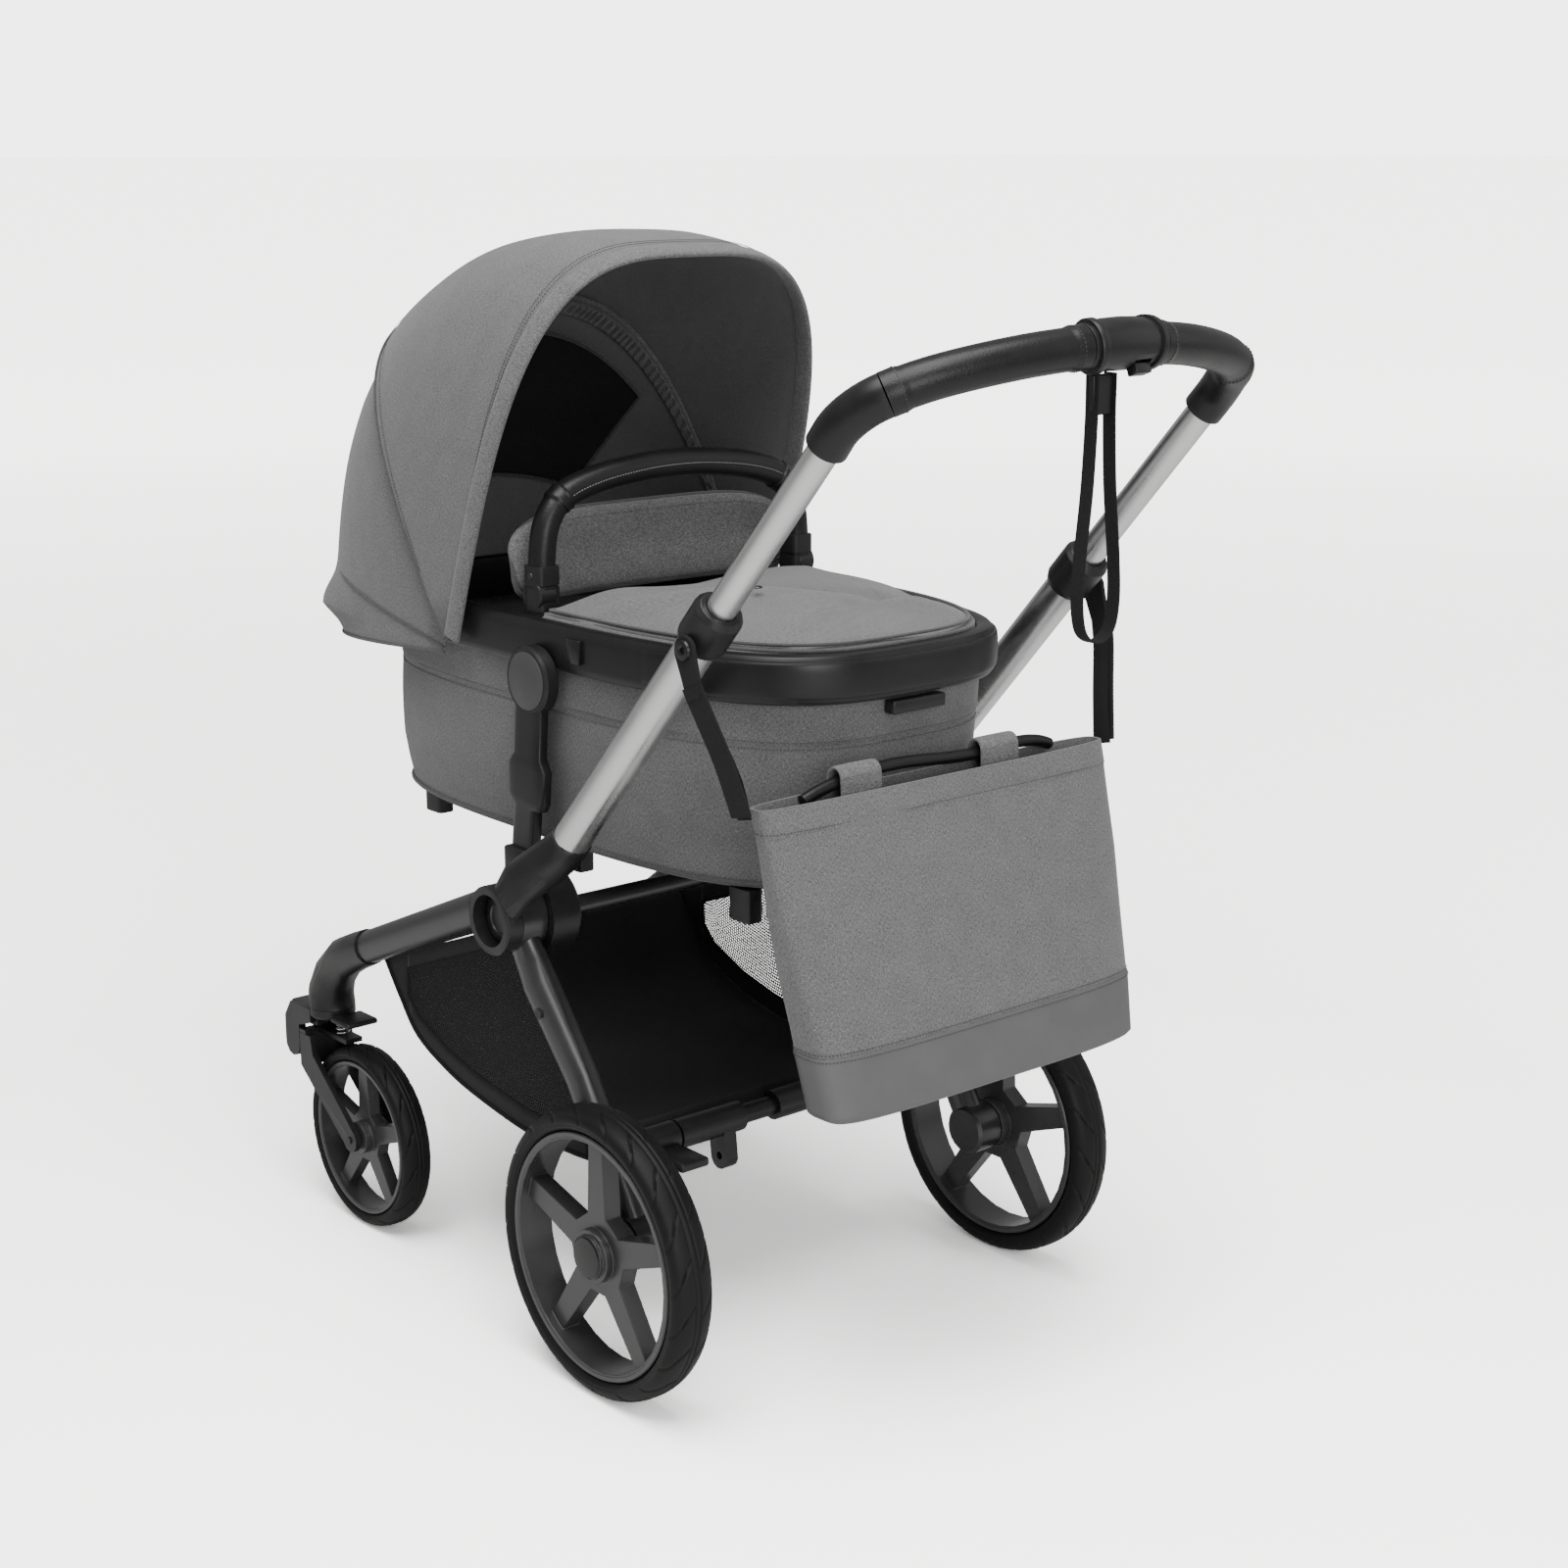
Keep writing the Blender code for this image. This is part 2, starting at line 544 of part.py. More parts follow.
# ---------------------------------------------------------------- push frame and handle
def make_push_frame():
    body = make_body("push_frame", PIVOT)
    along = Vector((0, math.cos(PUSH_ANGLE), math.sin(PUSH_ANGLE)))
    for word, side in SIDES:
        profile = [(0.0275, RING_X[0]), (0.0365, RING_X[0]), (0.0365, RING_X[1] - 0.002), (0.0345, RING_X[1]),
                   (0.0275, RING_X[1])]
        ring = turned(profile, (0, PIVOT.y, PIVOT.z), (side, 0, 0), 24)
        middle = (RING_X[0] + RING_X[1]) / 2
        steps = [(0.0290, middle, 0.0095, 0.0215), (0.0640, middle, 0.0095, 0.0250),
                 (0.0860, 0.2590, 0.0215, 0.0230), (0.1060, 0.2475, 0.0212, 0.0218),
                 (0.1240, PUSH_X, 0.0202, 0.0208), (SHROUD_END, PUSH_X, 0.0200, 0.0205)]
        path = [PIVOT + along * s + Vector((side * x, 0, 0)) for s, x, _, _ in steps]
        halves = [(a, b) for _, _, a, b in steps]
        shroud = sweep(path, halves, count=16, power=2.4, lead_out=push_point(0.2000, side))
        bore = cylinder((side * middle, PIVOT.y, PIVOT.z), (1, 0, 0), 0.0274, 0.0300, 24)
        combine(shroud, [bore], "DIFFERENCE")
        combine(shroud, [ring])
        add_piece(shroud, f"joint_ring_{word}", PLASTIC, body)

        tube_length = PUSH_TUBE_END - SHROUD_END - 2 * GAP
        middle = push_point((SHROUD_END + PUSH_TUBE_END) / 2, side)
        tube = cylinder(middle, along, PUSH_TUBE_RADIUS, tube_length, 20, 0.0162)
        add_piece(tube, f"push_tube_{word}", SILVER, body)

        half = (COLLAR_END - PUSH_TUBE_END) / 2
        profile = [(0.0150, -half), (0.0225, -half), (0.0248, -half + 0.006), (0.0248, half - 0.006),
                   (0.0205, half), (0.0150, half)]
        collar = turned(profile, push_point((PUSH_TUBE_END + COLLAR_END) / 2, side), along, 20)
        add_piece(collar, f"telescope_collar_{word}", PLASTIC, body)
    return body


def make_handle(push_body):
    start = push_point(SLIDE_TUBE_START)
    body = make_body("handle", (0, start.y, start.z), push_body)
    bends = [push_point(SLIDE_TUBE_END + GAP), push_point(0.7250), (0.2350, 0.3245, 1.0095),
             (0.2225, 0.3420, 1.0212), (0.1920, 0.3590, 1.0330), (0.1500, 0.3745, 1.0425),
             (0.1000, 0.3875, 1.0500), (0.0445, 0.3965, 1.0548),
             (0.0, 0.3990, 1.0562), (-0.0445, 0.3965, 1.0548)]
    line = smooth_path(bends, 2)
    along = push_point(1) - push_point(0)
    across = (0, along.z, -along.y)
    for word, side in SIDES:
        middle = push_point((SLIDE_TUBE_START + SLIDE_TUBE_END) / 2, side)
        length = SLIDE_TUBE_END - SLIDE_TUBE_START
        tube = cylinder(middle, along, SLIDE_TUBE_RADIUS, length, 18, SLIDE_TUBE_RADIUS - 0.0018)
        add_piece(tube, f"slide_tube_{word}", SILVER, body)

        path = [Vector((side * x, y, z)) for x, y, z in line]
        before = push_point(SLIDE_TUBE_END - 0.05, side)
        elbow = sweep(path[:7], ELBOW_HALVES, side=across, lead_in=before, lead_out=path[7])
        add_piece(elbow, f"handle_elbow_{word}", PLASTIC, body)
        run = path[6:15]
        step = (path[7] - path[5]).normalized() * GAP
        grip = sweep([run[0] + step, *run[1:]], GRIP_HALVES, side=across, lead_in=path[5] + step,
                     lead_out=path[15])
        add_piece(grip, f"handle_grip_{word}", LEATHER, body)

    middle = [line[14].lerp(line[15], 0.02), line[15], line[16]]
    middle += [Vector((-x, y, z)) for x, y, z in middle[1::-1]]
    halves = [(r, r) for r in (0.0205, 0.0230, 0.0234, 0.0230, 0.0205)]
    ends = [Vector((sign * line[13].x, line[13].y, line[13].z)) for sign in (1, -1)]
    housing = sweep(middle, halves, side=across, count=18, lead_in=ends[0], lead_out=ends[1])
    tilt = (math.atan2(0.35, 0.94), 0, 0)
    pocket = block((-0.0240, 0.4030, 1.0270), (-0.0020, 0.4190, 1.0450), 0.0, tilt)
    combine(housing, [pocket], "DIFFERENCE")
    add_piece(housing, "handle_housing", PLASTIC, body)
    button_body = make_body("handle_button", (-0.0130, 0.4110, 1.0340), body)
    button = block((-0.0228, 0.4052, 1.0292), (-0.0032, 0.4168, 1.0388), 0.001, tilt)
    add_piece(button, "handle_button", PLASTIC, button_body)

    fall = [(0.0085, 1.0310), (0.0085, 0.9900), (0.0110, 0.9300), (0.0160, 0.8700), (0.0175, 0.8300),
            (0.0130, 0.8030), (0.0, 0.7930)]
    loop = fall + [(-x, z) for x, z in fall[-2::-1]]
    curve = [Vector((0.012 + x, 0.3905, z)) for x, z in loop]
    strap = sweep(smooth_path(curve, 2), (0.0075, 0.0011), side=(0, 1, 0), count=4, power=8.0)
    add_piece(strap, "wrist_strap", BLACK_FABRIC, body)


# ---------------------------------------------------------------- carrycot
def plan_ring(z, half_x, y_low, y_high, count=40, power=3.2):
    """Rounded plan outline of the carrycot at one height."""
    centre = (0, (y_low + y_high) / 2, z)
    return oval(centre, (1, 0, 0), (0, 1, 0), half_x, (y_high - y_low) / 2, count, power)


def make_carrycot():
    body = make_body("carrycot", (0, -0.1940, 0.6950))
    low, high = RAIL_Z
    inner = RAIL_OUTER_X - RAIL_WALL
    y_low, y_high = RAIL_Y
    section = ((0.0030, low), (0.0, low + 0.006), (0.0, high - 0.008), (0.0050, high),
               (RAIL_WALL - 0.003, high),
               (RAIL_WALL, high - 0.006), (RAIL_WALL, low))
    rows = [plan_ring(z, RAIL_OUTER_X - inset, y_low + inset, y_high - inset) for inset, z in section]
    rail = loft(rows, closed=True)
    pockets = [block((side * 0.2030 - 0.0030, -0.1430, 0.7190), (side * 0.2030 + 0.0030, -0.1210, 0.7450))
               for _, side in SIDES]
    combine(rail, pockets, "DIFFERENCE")
    add_piece(rail, "carrycot_rail", PLASTIC, body)

    tub_rows = [(TUB_BOTTOM, 0.1700, -0.5900, 0.1050), (TUB_BOTTOM + 0.010, 0.1800, -0.6020, 0.1180),
                (TUB_BOTTOM + 0.060, 0.1860, -0.6100, 0.1270), (low - GAP, 0.1930, -0.6000, 0.1400),
                (low - GAP, 0.1880, -0.5950, 0.1350), (TUB_BOTTOM + 0.060, 0.1810, -0.6050, 0.1220),
                (TUB_BOTTOM + 0.006, 0.1720, -0.5900, 0.1060)]
    tub = loft([plan_ring(*row, 32) for row in tub_rows])
    feet = [block((side * x - 0.010, y - 0.016, 0.4800), (side * x + 0.010, y + 0.016, TUB_BOTTOM + 0.003))
            for x, y in ((0.1250, -0.5150), (0.1500, -0.2090), (0.1350, 0.0500)) for _, side in SIDES]
    combine(tub, feet)
    add_piece(tub, "carrycot_tub", FABRIC, body)

    bed_rows = [(0.5190, 0.1600, -0.5800, 0.0950), (0.5300, 0.1690, -0.5880, 0.1030),
                (0.5520, 0.1700, -0.5890, 0.1040), (0.5620, 0.1600, -0.5790, 0.0940)]
    add_piece(loft([plan_ring(*row, 28) for row in bed_rows]), "mattress", LINING, body)

    # the apron follows the inside of the rail and stops level at the wind flap
    cover = []
    for inset, z in ((0.006, 0.7420), (0.0020, 0.7520), (0.0030, 0.7600), (0.0200, 0.7700), (0.0600, 0.7780)):
        ring = plan_ring(z, inner - inset, y_low + RAIL_WALL + inset, y_high - RAIL_WALL - inset, 36)
        cover.append([Vector((x, max(y, -0.2140 + inset * 0.4), height)) for x, y, height in ring])
    add_piece(loft(cover), "apron", FABRIC, body)

    flap_outline = [(-0.2700, 0.7600), (-0.2620, 0.7660), (-0.2660, 0.8300), (-0.2780, 0.8660),
                    (-0.2900, 0.8700), (-0.2940, 0.8600), (-0.2900, 0.7600)]
    flap = plate(flap_outline, -0.1550, 0.1550)
    add_piece(flap, "wind_flap", FABRIC, body)

    release_body = make_body("carrycot_release", (0, 0.1460, 0.6980), body)
    latch = block((-0.0350, 0.1405, 0.6900), (0.0350, 0.1545, 0.7035), 0.002)
    add_piece(latch, "carrycot_release", PLASTIC, release_body)
    for word, side in SIDES:
        spot = (side * 0.2060, -0.1320, 0.7320)
        button_body = make_body(f"rail_button_{word}", spot, body)
        x_low, x_high = sorted((side * 0.2035, side * 0.2085))
        button = block((x_low, -0.1425, 0.7195), (x_high, -0.1215, 0.7445), 0.0008)
        add_piece(button, f"rail_button_{word}", PLASTIC, button_body)
    make_carry_handle(body)
    make_canopy(body)


def make_carry_handle(cot):
    """Arched carrying handle on two knuckles that turn against the rail's inner face."""
    turning = make_body("carry_handle", CARRY_PIVOT, cot)
    y = CARRY_PIVOT.y
    half = [(0.1725, y, CARRY_PIVOT.z), (0.1725, y, 0.8050), (0.1690, y, 0.8350), (0.1610, y, 0.8550),
            (0.1480, y, 0.8700), (0.1280, y, 0.8800), (0.0900, y, 0.8890), (0.0400, y, 0.8950)]
    path = half + [(0.0, y, 0.8965)] + [(-x, b, z) for x, b, z in half[::-1]]
    arch = sweep(path, (0.0130, 0.0130), side=(0, 1, 0), count=12)
    knuckles = [cylinder((side * 0.1760, y, CARRY_PIVOT.z), (1, 0, 0), 0.0170, 0.0210, 18)
                for _, side in SIDES]
    combine(arch, knuckles)
    add_piece(arch, "carry_handle", LEATHER, turning)


def arch_ring(angle, radius, half_x, count=18, power=3.4, start=0.020):
    """Points over the canopy in the plane that leans by angle about the canopy's axis."""
    points = []
    for i in range(count + 1):
        turn = math.pi * i / count
        c, s = math.cos(turn), math.sin(turn)
        x = half_x * math.copysign(abs(c) ** (2 / power), c)
        reach = start + (radius - start) * abs(s) ** (2 / power)
        points.append(CANOPY_AXIS + Vector((x, reach * math.cos(angle), reach * math.sin(angle))))
    return points


def canopy_shell(stations, half_x, thickness):
    """Open surface through arches at (degrees, radius), thickened inwards."""
    work = bmesh.new()
    rows = [[work.verts.new(p) for p in arch_ring(math.radians(a), r, half_x)] for a, r in stations]
    for one, two in zip(rows, rows[1:]):
        for i in range(len(one) - 1):
            work.faces.new((one[i], one[i + 1], two[i + 1], two[i]))
    bmesh.ops.recalc_face_normals(work, faces=work.faces)
    middle = max(work.faces, key=lambda face: face.calc_center_median().z)
    if middle.normal.z < 0:
        bmesh.ops.reverse_faces(work, faces=work.faces)
    mesh = bpy.data.meshes.new("canopy")
    work.to_mesh(mesh)
    work.free()
    mesh.shade_smooth()
    obj = bpy.data.objects.new("canopy", mesh)
    parts.objects.link(obj)
    wall = obj.modifiers.new("wall", "SOLIDIFY")
    wall.thickness = thickness
    wall.offset = -1.0
    return obj


def make_canopy(cot):
    """Hood in two nested sections: the front one folds back over the fixed rear one."""
    front_body = make_body("canopy_front", CANOPY_AXIS, cot)
    front = [(71, 0.4440), (84, 0.4400), (97, 0.4320), (110, 0.4220), (123, 0.4120)]
    add_piece(canopy_shell(front, CANOPY_X, 0.0025), "canopy_front", FABRIC, front_body)
    rear = [(124.5, 0.4060), (136, 0.3980), (148, 0.3860), (160, 0.3720), (172, 0.3600), (184, 0.3540)]
    add_piece(canopy_shell(rear, CANOPY_X - 0.0035, 0.0025), "canopy_rear", FABRIC, cot)


# ---------------------------------------------------------------- tote bag
def make_tote():
    hanging = make_body("tote_straps", (0, 0.1250, 0.7720))
    for word, side in SIDES:
        clip_x = side * 0.2700
        clip = [(0.1160, 0.7740), (0.1340, 0.7330), (0.1520, 0.7400)]
        clip += arc((0.1290, 0.7800), 0.0135, 0, 180, 8)
        low, high = sorted((clip_x - 0.0022, clip_x + 0.0022))
        buckle = plate(clip, low, high)
        path = [(side * 0.2700, 0.1420, 0.7420), (side * 0.2560, 0.1560, 0.7000),
                (side * 0.2440, 0.1680, 0.6600), (side * 0.2400, 0.1760, 0.6250)]
        strap = sweep(smooth_path(path, 2), (0.0013, 0.0105), side=(1, 0, 0), count=4, power=8.0)
        combine(buckle, [strap])
        add_piece(buckle, f"tote_strap_{word}", BLACK_FABRIC, hanging)

    swinging = make_body("tote", (0, 0.1800, 0.6300), hanging)
    rings = ((0.3400, 0.2400, 0.1950, 0.0280), (0.3460, 0.2400, 0.2050, 0.0360),
             (0.4050, 0.2270, 0.2110, 0.0370), (0.5300, 0.1990, 0.2230, 0.0280),
             (0.6330, 0.1760, 0.2290, 0.0170))
    outer = [oval((0, y, z), (1, 0, 0), (0, 1, 0), a, b, 28, 4.0) for z, y, a, b in rings]
    inner = [oval((0, y, z), (1, 0, 0), (0, 1, 0), a - TOTE_WALL, b - TOTE_WALL, 28, 4.0)
             for z, y, a, b in rings[:0:-1]]
    add_piece(loft(outer + inner), "tote_bag", FABRIC, swinging)


make_rear_wheels()
make_casters()
make_chassis()
make_brake()
make_basket()
push_body = make_push_frame()
make_handle(push_body)
make_carrycot()
make_tote()
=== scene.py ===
import json
import math

import bmesh
import bpy
import numpy as np
from mathutils import Matrix, Vector


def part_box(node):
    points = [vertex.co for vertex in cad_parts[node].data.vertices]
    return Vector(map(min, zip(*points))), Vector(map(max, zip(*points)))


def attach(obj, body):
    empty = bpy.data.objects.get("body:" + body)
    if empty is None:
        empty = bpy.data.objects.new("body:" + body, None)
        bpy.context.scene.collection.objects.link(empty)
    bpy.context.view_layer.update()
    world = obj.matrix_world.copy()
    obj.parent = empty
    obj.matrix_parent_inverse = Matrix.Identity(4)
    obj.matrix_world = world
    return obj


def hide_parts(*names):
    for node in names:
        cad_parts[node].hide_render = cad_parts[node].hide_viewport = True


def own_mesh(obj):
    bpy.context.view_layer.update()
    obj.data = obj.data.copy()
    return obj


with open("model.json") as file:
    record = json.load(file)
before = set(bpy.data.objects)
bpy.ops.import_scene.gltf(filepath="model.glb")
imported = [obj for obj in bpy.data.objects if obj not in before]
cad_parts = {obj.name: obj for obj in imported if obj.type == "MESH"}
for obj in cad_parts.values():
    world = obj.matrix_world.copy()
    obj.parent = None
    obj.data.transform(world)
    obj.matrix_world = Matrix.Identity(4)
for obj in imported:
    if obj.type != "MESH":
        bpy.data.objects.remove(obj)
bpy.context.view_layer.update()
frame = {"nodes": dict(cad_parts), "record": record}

tyreLow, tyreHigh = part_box("rear_wheel_left_tyre")
axleY = (tyreLow.y + tyreHigh.y) / 2  # shapes below are measured from the rear axle
sides = (("left", 1), ("right", -1))
bodyOf = {node: body for body, nodes in frame["record"]["behaviour"]["bodies"].items() for node in nodes}

# camera, light and floor
cameraSettings = {"place": (1.685, 2.0636, 1.220), "look": (-0.630, -0.738, -0.240),
                  "up": (-0.157, -0.182, 0.971), "lens": 58.91}
studio = {
    "world": 0.44, "seen": 4.6,  # backdrop: the light it gives and how bright the camera sees it
    "paper": (0.965, 0.962, 0.955, 1),
    "lamps": {"key": ((0.7, 0.7, 3.4), 2.6, 150.0), "fill": ((-2.6, 2.6, 2.2), 3.0, 18.0),
              "front": ((1.3, 3.4, 1.5), 1.8, 58.0)},  # place, size, power
    "aimHeight": 0.5, "floor": (0.80, 0.796, 0.788), "floorHalf": 400.0,
    # the camera sees the floor brighter by lift near the object and by farLift beyond liftTo
    "lift": 3.5, "farLift": 12.6, "liftFrom": 1.2, "liftTo": 9.0}


def makeCamera(settings):
    # stands at its place, looks along look and keeps up upright
    data = bpy.data.cameras.new("camera")
    data.lens = settings["lens"]
    data.sensor_width = 36.0
    camera = bpy.data.objects.new("camera", data)
    back = -Vector(settings["look"]).normalized()
    right = Vector(settings["up"]).cross(back).normalized()
    up = back.cross(right)
    turn = Matrix((right, up, back)).transposed().to_4x4()
    camera.matrix_world = Matrix.Translation(settings["place"]) @ turn
    bpy.context.scene.collection.objects.link(camera)
    bpy.context.scene.camera = camera


makeCamera(cameraSettings)


def makeStudio(settings):
    # backdrop, three soft lamps and a pale floor
    world = bpy.data.worlds.new("studio")
    world.use_nodes = True
    tree = world.node_tree
    back = tree.nodes["Background"]
    back.inputs["Color"].default_value = settings["paper"]
    # the camera sees a brighter backdrop than the one that lights
    rays = tree.nodes.new("ShaderNodeLightPath")
    power = node(tree, "ShaderNodeMapRange", {0: rays.outputs["Is Camera Ray"], 3: settings["world"],
                                              4: settings["seen"]})
    tree.links.new(power.outputs[0], back.inputs["Strength"])
    bpy.context.scene.world = world
    for name, (spot, size, power) in settings["lamps"].items():
        data = bpy.data.lights.new(name, "AREA")
        data.size = size
        data.energy = power
        lamp = bpy.data.objects.new(name, data)
        lamp.location = spot
        aim = Vector((0, 0, settings["aimHeight"])) - Vector(spot)
        lamp.rotation_euler = aim.to_track_quat("-Z", "Y").to_euler()
        bpy.context.scene.collection.objects.link(lamp)
    half = settings["floorHalf"]
    corners = np.array([[(x, y, 0.0) for x in (-half, half)] for y in (half, -half)])
    floor = surface("studioFloor", corners)
    paint = bpy.data.materials.new("studioFloor")
    paint.use_nodes = True
    tree = paint.node_tree
    rays = tree.nodes.new("ShaderNodeLightPath")  # bright paper to the camera, ordinary paper to the object
    bright, far = (tuple(settings[key] * c for c in settings["floor"]) for key in ("lift", "farLift"))
    spot = tree.nodes.new("ShaderNodeTexCoord")
    away = node(tree, "ShaderNodeVectorMath", {0: spot.outputs["Object"]}, operation="LENGTH")
    # the lamps fade with distance, so the lift grows
    share = node(tree, "ShaderNodeMapRange",
                 {0: away.outputs["Value"], 1: settings["liftFrom"], 2: settings["liftTo"]})
    shown = between(tree, rays.outputs["Is Camera Ray"], settings["floor"], bright)
    tree.links.new(between(tree, share.outputs[0], bright, far), shown.node.inputs["B"])
    tree.links.new(shown, tree.nodes["Principled BSDF"].inputs["Base Color"])
    tree.nodes["Principled BSDF"].inputs["Roughness"].default_value = 0.9
    tree.nodes["Principled BSDF"].inputs["Specular IOR Level"].default_value = 0.1
    floor.data.materials.append(paint)


# mesh from arrays
def lengthAlong(points, axis):
    # running length of the grid lines along one axis, starting at nought
    steps = np.linalg.norm(np.diff(points, axis=axis), axis=2)
    pad = [(0, 0), (0, 0)]
    pad[axis] = (1, 0)
    return np.pad(np.cumsum(steps, axis=axis), pad)


def surface(name, points, wrap=False, loop=False, caps=False):
    # a grid of points [row, column] as quads; wrap joins the last column to the first, loop the last row
    # to the first, and caps closes both ends; its UV map is the length along the grid in metres
    points = np.asarray(points, float)
    rows, columns = points.shape[:2]
    i, j = np.meshgrid(np.arange(rows if loop else rows - 1), np.arange(columns if wrap else columns - 1),
                       indexing="ij")
    nextRow, nextColumn = (i + 1) % rows, (j + 1) % columns
    quads = np.stack([i * columns + j, i * columns + nextColumn, nextRow * columns + nextColumn,
                      nextRow * columns + j], -1)
    faces = quads.reshape(-1, 4).tolist()
    if caps:
        faces += [list(range(columns))[::-1], list(range((rows - 1) * columns, rows * columns))]
    mesh = bpy.data.meshes.new(name)
    mesh.from_pydata(points.reshape(-1, 3).tolist(), [], faces)
    grown = np.concatenate([points, points[:1]], 0) if loop else points
    grown = np.concatenate([grown, grown[:, :1]], 1) if wrap else grown
    u, v = lengthAlong(grown, 1), lengthAlong(grown, 0)
    uv = np.zeros((len(mesh.loops), 2))
    spots = np.stack([np.stack([g[i, j], g[i, j + 1], g[i + 1, j + 1], g[i + 1, j]], -1) for g in (u, v)],
                     -1)
    uv[:spots.size // 2] = spots.reshape(-1, 2)
    mesh.uv_layers.new(name="UVMap").data.foreach_set("uv", uv.ravel())
    obj = bpy.data.objects.new(name, mesh)
    bpy.context.scene.collection.objects.link(obj)
    return obj


def joined(name, pieces):
    # several meshes as one piece, each keeping its own UV map
    work = bmesh.new()
    for piece in pieces:
        work.from_mesh(piece.data)
        bpy.data.objects.remove(piece)
    mesh = bpy.data.meshes.new(name)
    work.to_mesh(mesh)
    work.free()
    obj = bpy.data.objects.new(name, mesh)
    bpy.context.scene.collection.objects.link(obj)
    return obj


def outward(obj):
    # closed shapes get their faces turned outward
    work = bmesh.new()
    work.from_mesh(obj.data)
    bmesh.ops.recalc_face_normals(work, faces=work.faces)
    work.to_mesh(obj.data)
    work.free()
    return obj


def facing(obj, direction):
    # turns an open sheet so that its faces look along a direction on average
    normals = np.zeros(len(obj.data.polygons) * 3)
    obj.data.polygons.foreach_get("normal", normals)
    if normals.reshape(-1, 3).sum(0) @ np.array(direction) < 0:
        obj.data.flip_normals()
    return obj


def place(obj, body, finish, replaces=(), angle=40):
    # moves a finished shape from the axle to its place, dresses it and hangs it on its body
    obj.data.transform(Matrix.Translation((0, axleY, 0)))
    return dress(obj, body, finish, replaces, angle)


def dress(obj, body, finish, replaces=(), angle=40):
    # gives a piece its finish, smooth shading with sharp edges past the angle, its body and what it replaces
    obj.data.materials.clear()
    obj.data.materials.append(finishes[finish])
    obj.data.shade_smooth()
    obj.data.set_sharp_from_angle(angle=math.radians(angle))
    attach(obj, body)
    if replaces:
        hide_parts(*replaces)
    return obj


def withWall(obj, thickness):
    # gives an open sheet a wall, grown from the back of its faces
    wall = obj.modifiers.new("wall", "SOLIDIFY")
    wall.thickness = thickness
    wall.offset = -1.0
    return obj


def rounded(obj, width):
    # rounds every edge that is sharper than 35 degrees
    step = obj.modifiers.new("rounding", "BEVEL")
    step.width = width
    step.segments = 2
    step.limit_method = "ANGLE"
    step.angle_limit = math.radians(35)
    step.harden_normals = True
    return obj


# paths and profiles
def smoothLine(points, steps=8):
    # Catmull-Rom: each stretch is a cubic through its two ends, with slopes from the neighbours
    points = np.asarray(points, float)
    ends = np.concatenate([[2 * points[0] - points[1]], points, [2 * points[-1] - points[-2]]])
    a, b, c, d = ends[:-3, None], ends[1:-2, None], ends[2:-1, None], ends[3:, None]
    t = (np.arange(steps) / steps)[None, :, None]
    line = 0.5 * (2 * b + (c - a) * t + (2 * a - 5 * b + 4 * c - d) * t**2
                  + (3 * b - a - 3 * c + d) * t**3)
    return np.concatenate([line.reshape(-1, 3), points[-1:]])


def evenly(path, spacing=None, count=None):
    # points at even distances along a path
    path = np.asarray(path, float)
    run = np.concatenate([[0], np.cumsum(np.linalg.norm(np.diff(path, axis=0), axis=1))])
    count = count or max(2, int(round(run[-1] / spacing)) + 1)
    at = np.linspace(0, run[-1], count)
    return np.stack([np.interp(at, run, path[:, k]) for k in range(3)], -1)


def ring(columns, power=2.0):
    # a superellipse of radius one, as (side, across)
    turn = np.arange(columns) * 2 * math.pi / columns
    c, s = np.cos(turn), np.sin(turn)
    return np.stack([np.sign(c) * np.abs(c) ** (2 / power), np.sign(s) * np.abs(s) ** (2 / power)], -1)


def frames(path, side, loop=False):
    # direction of a path at each point, and two directions square to it, the first closest to side
    path = np.asarray(path, float)
    if loop:
        tangent = np.roll(path, -1, 0) - np.roll(path, 1, 0)
    else:
        tangent = np.gradient(path, axis=0)
    tangent = tangent / np.linalg.norm(tangent, axis=1, keepdims=True)
    across = np.cross(tangent, np.asarray(side, float))
    across = across / np.linalg.norm(across, axis=1, keepdims=True)
    along = np.cross(across, tangent)
    return tangent, along, across


def carried(path, halves, side=(1, 0, 0), columns=24, power=2.0, loop=False):
    # a ring carried along a path; halves are its half widths along side and across it
    path = np.asarray(path, float)
    _, along, across = frames(path, side, loop)
    halves = np.broadcast_to(np.asarray(halves, float), (len(path), 2))
    shape = ring(columns, power)
    return (path[:, None] + along[:, None] * (shape[None, :, :1] * halves[:, None, :1])
            + across[:, None] * (shape[None, :, 1:] * halves[:, None, 1:]))


def bar(name, path, halves, side=(1, 0, 0), columns=24, power=2.0, loop=False):
    # a closed solid bar from a ring carried along a path
    return outward(surface(name, carried(path, halves, side, columns, power, loop), True, loop, not loop))


def turned(name, profile, centre, axis, steps=64, loop=True):
    # a profile of (radius, height) carried round an axis; a profile that ends on the axis closes there
    profile = np.asarray(profile, float)
    turn = np.arange(steps) * 2 * math.pi / steps
    aim = Vector((0, 0, 1)).rotation_difference(Vector(axis)).to_matrix()
    local = np.stack([profile[:, None, 0] * np.cos(turn), profile[:, None, 0] * np.sin(turn),
                      np.broadcast_to(profile[:, None, 1], (len(profile), steps))], -1)
    points = local @ np.array(aim).T + np.array(centre)
    obj = surface(name, points, True, loop)
    work = bmesh.new()
    work.from_mesh(obj.data)
    bmesh.ops.remove_doubles(work, verts=work.verts, dist=1e-6)
    bmesh.ops.recalc_face_normals(work, faces=work.faces)
    work.to_mesh(obj.data)
    work.free()
    return obj


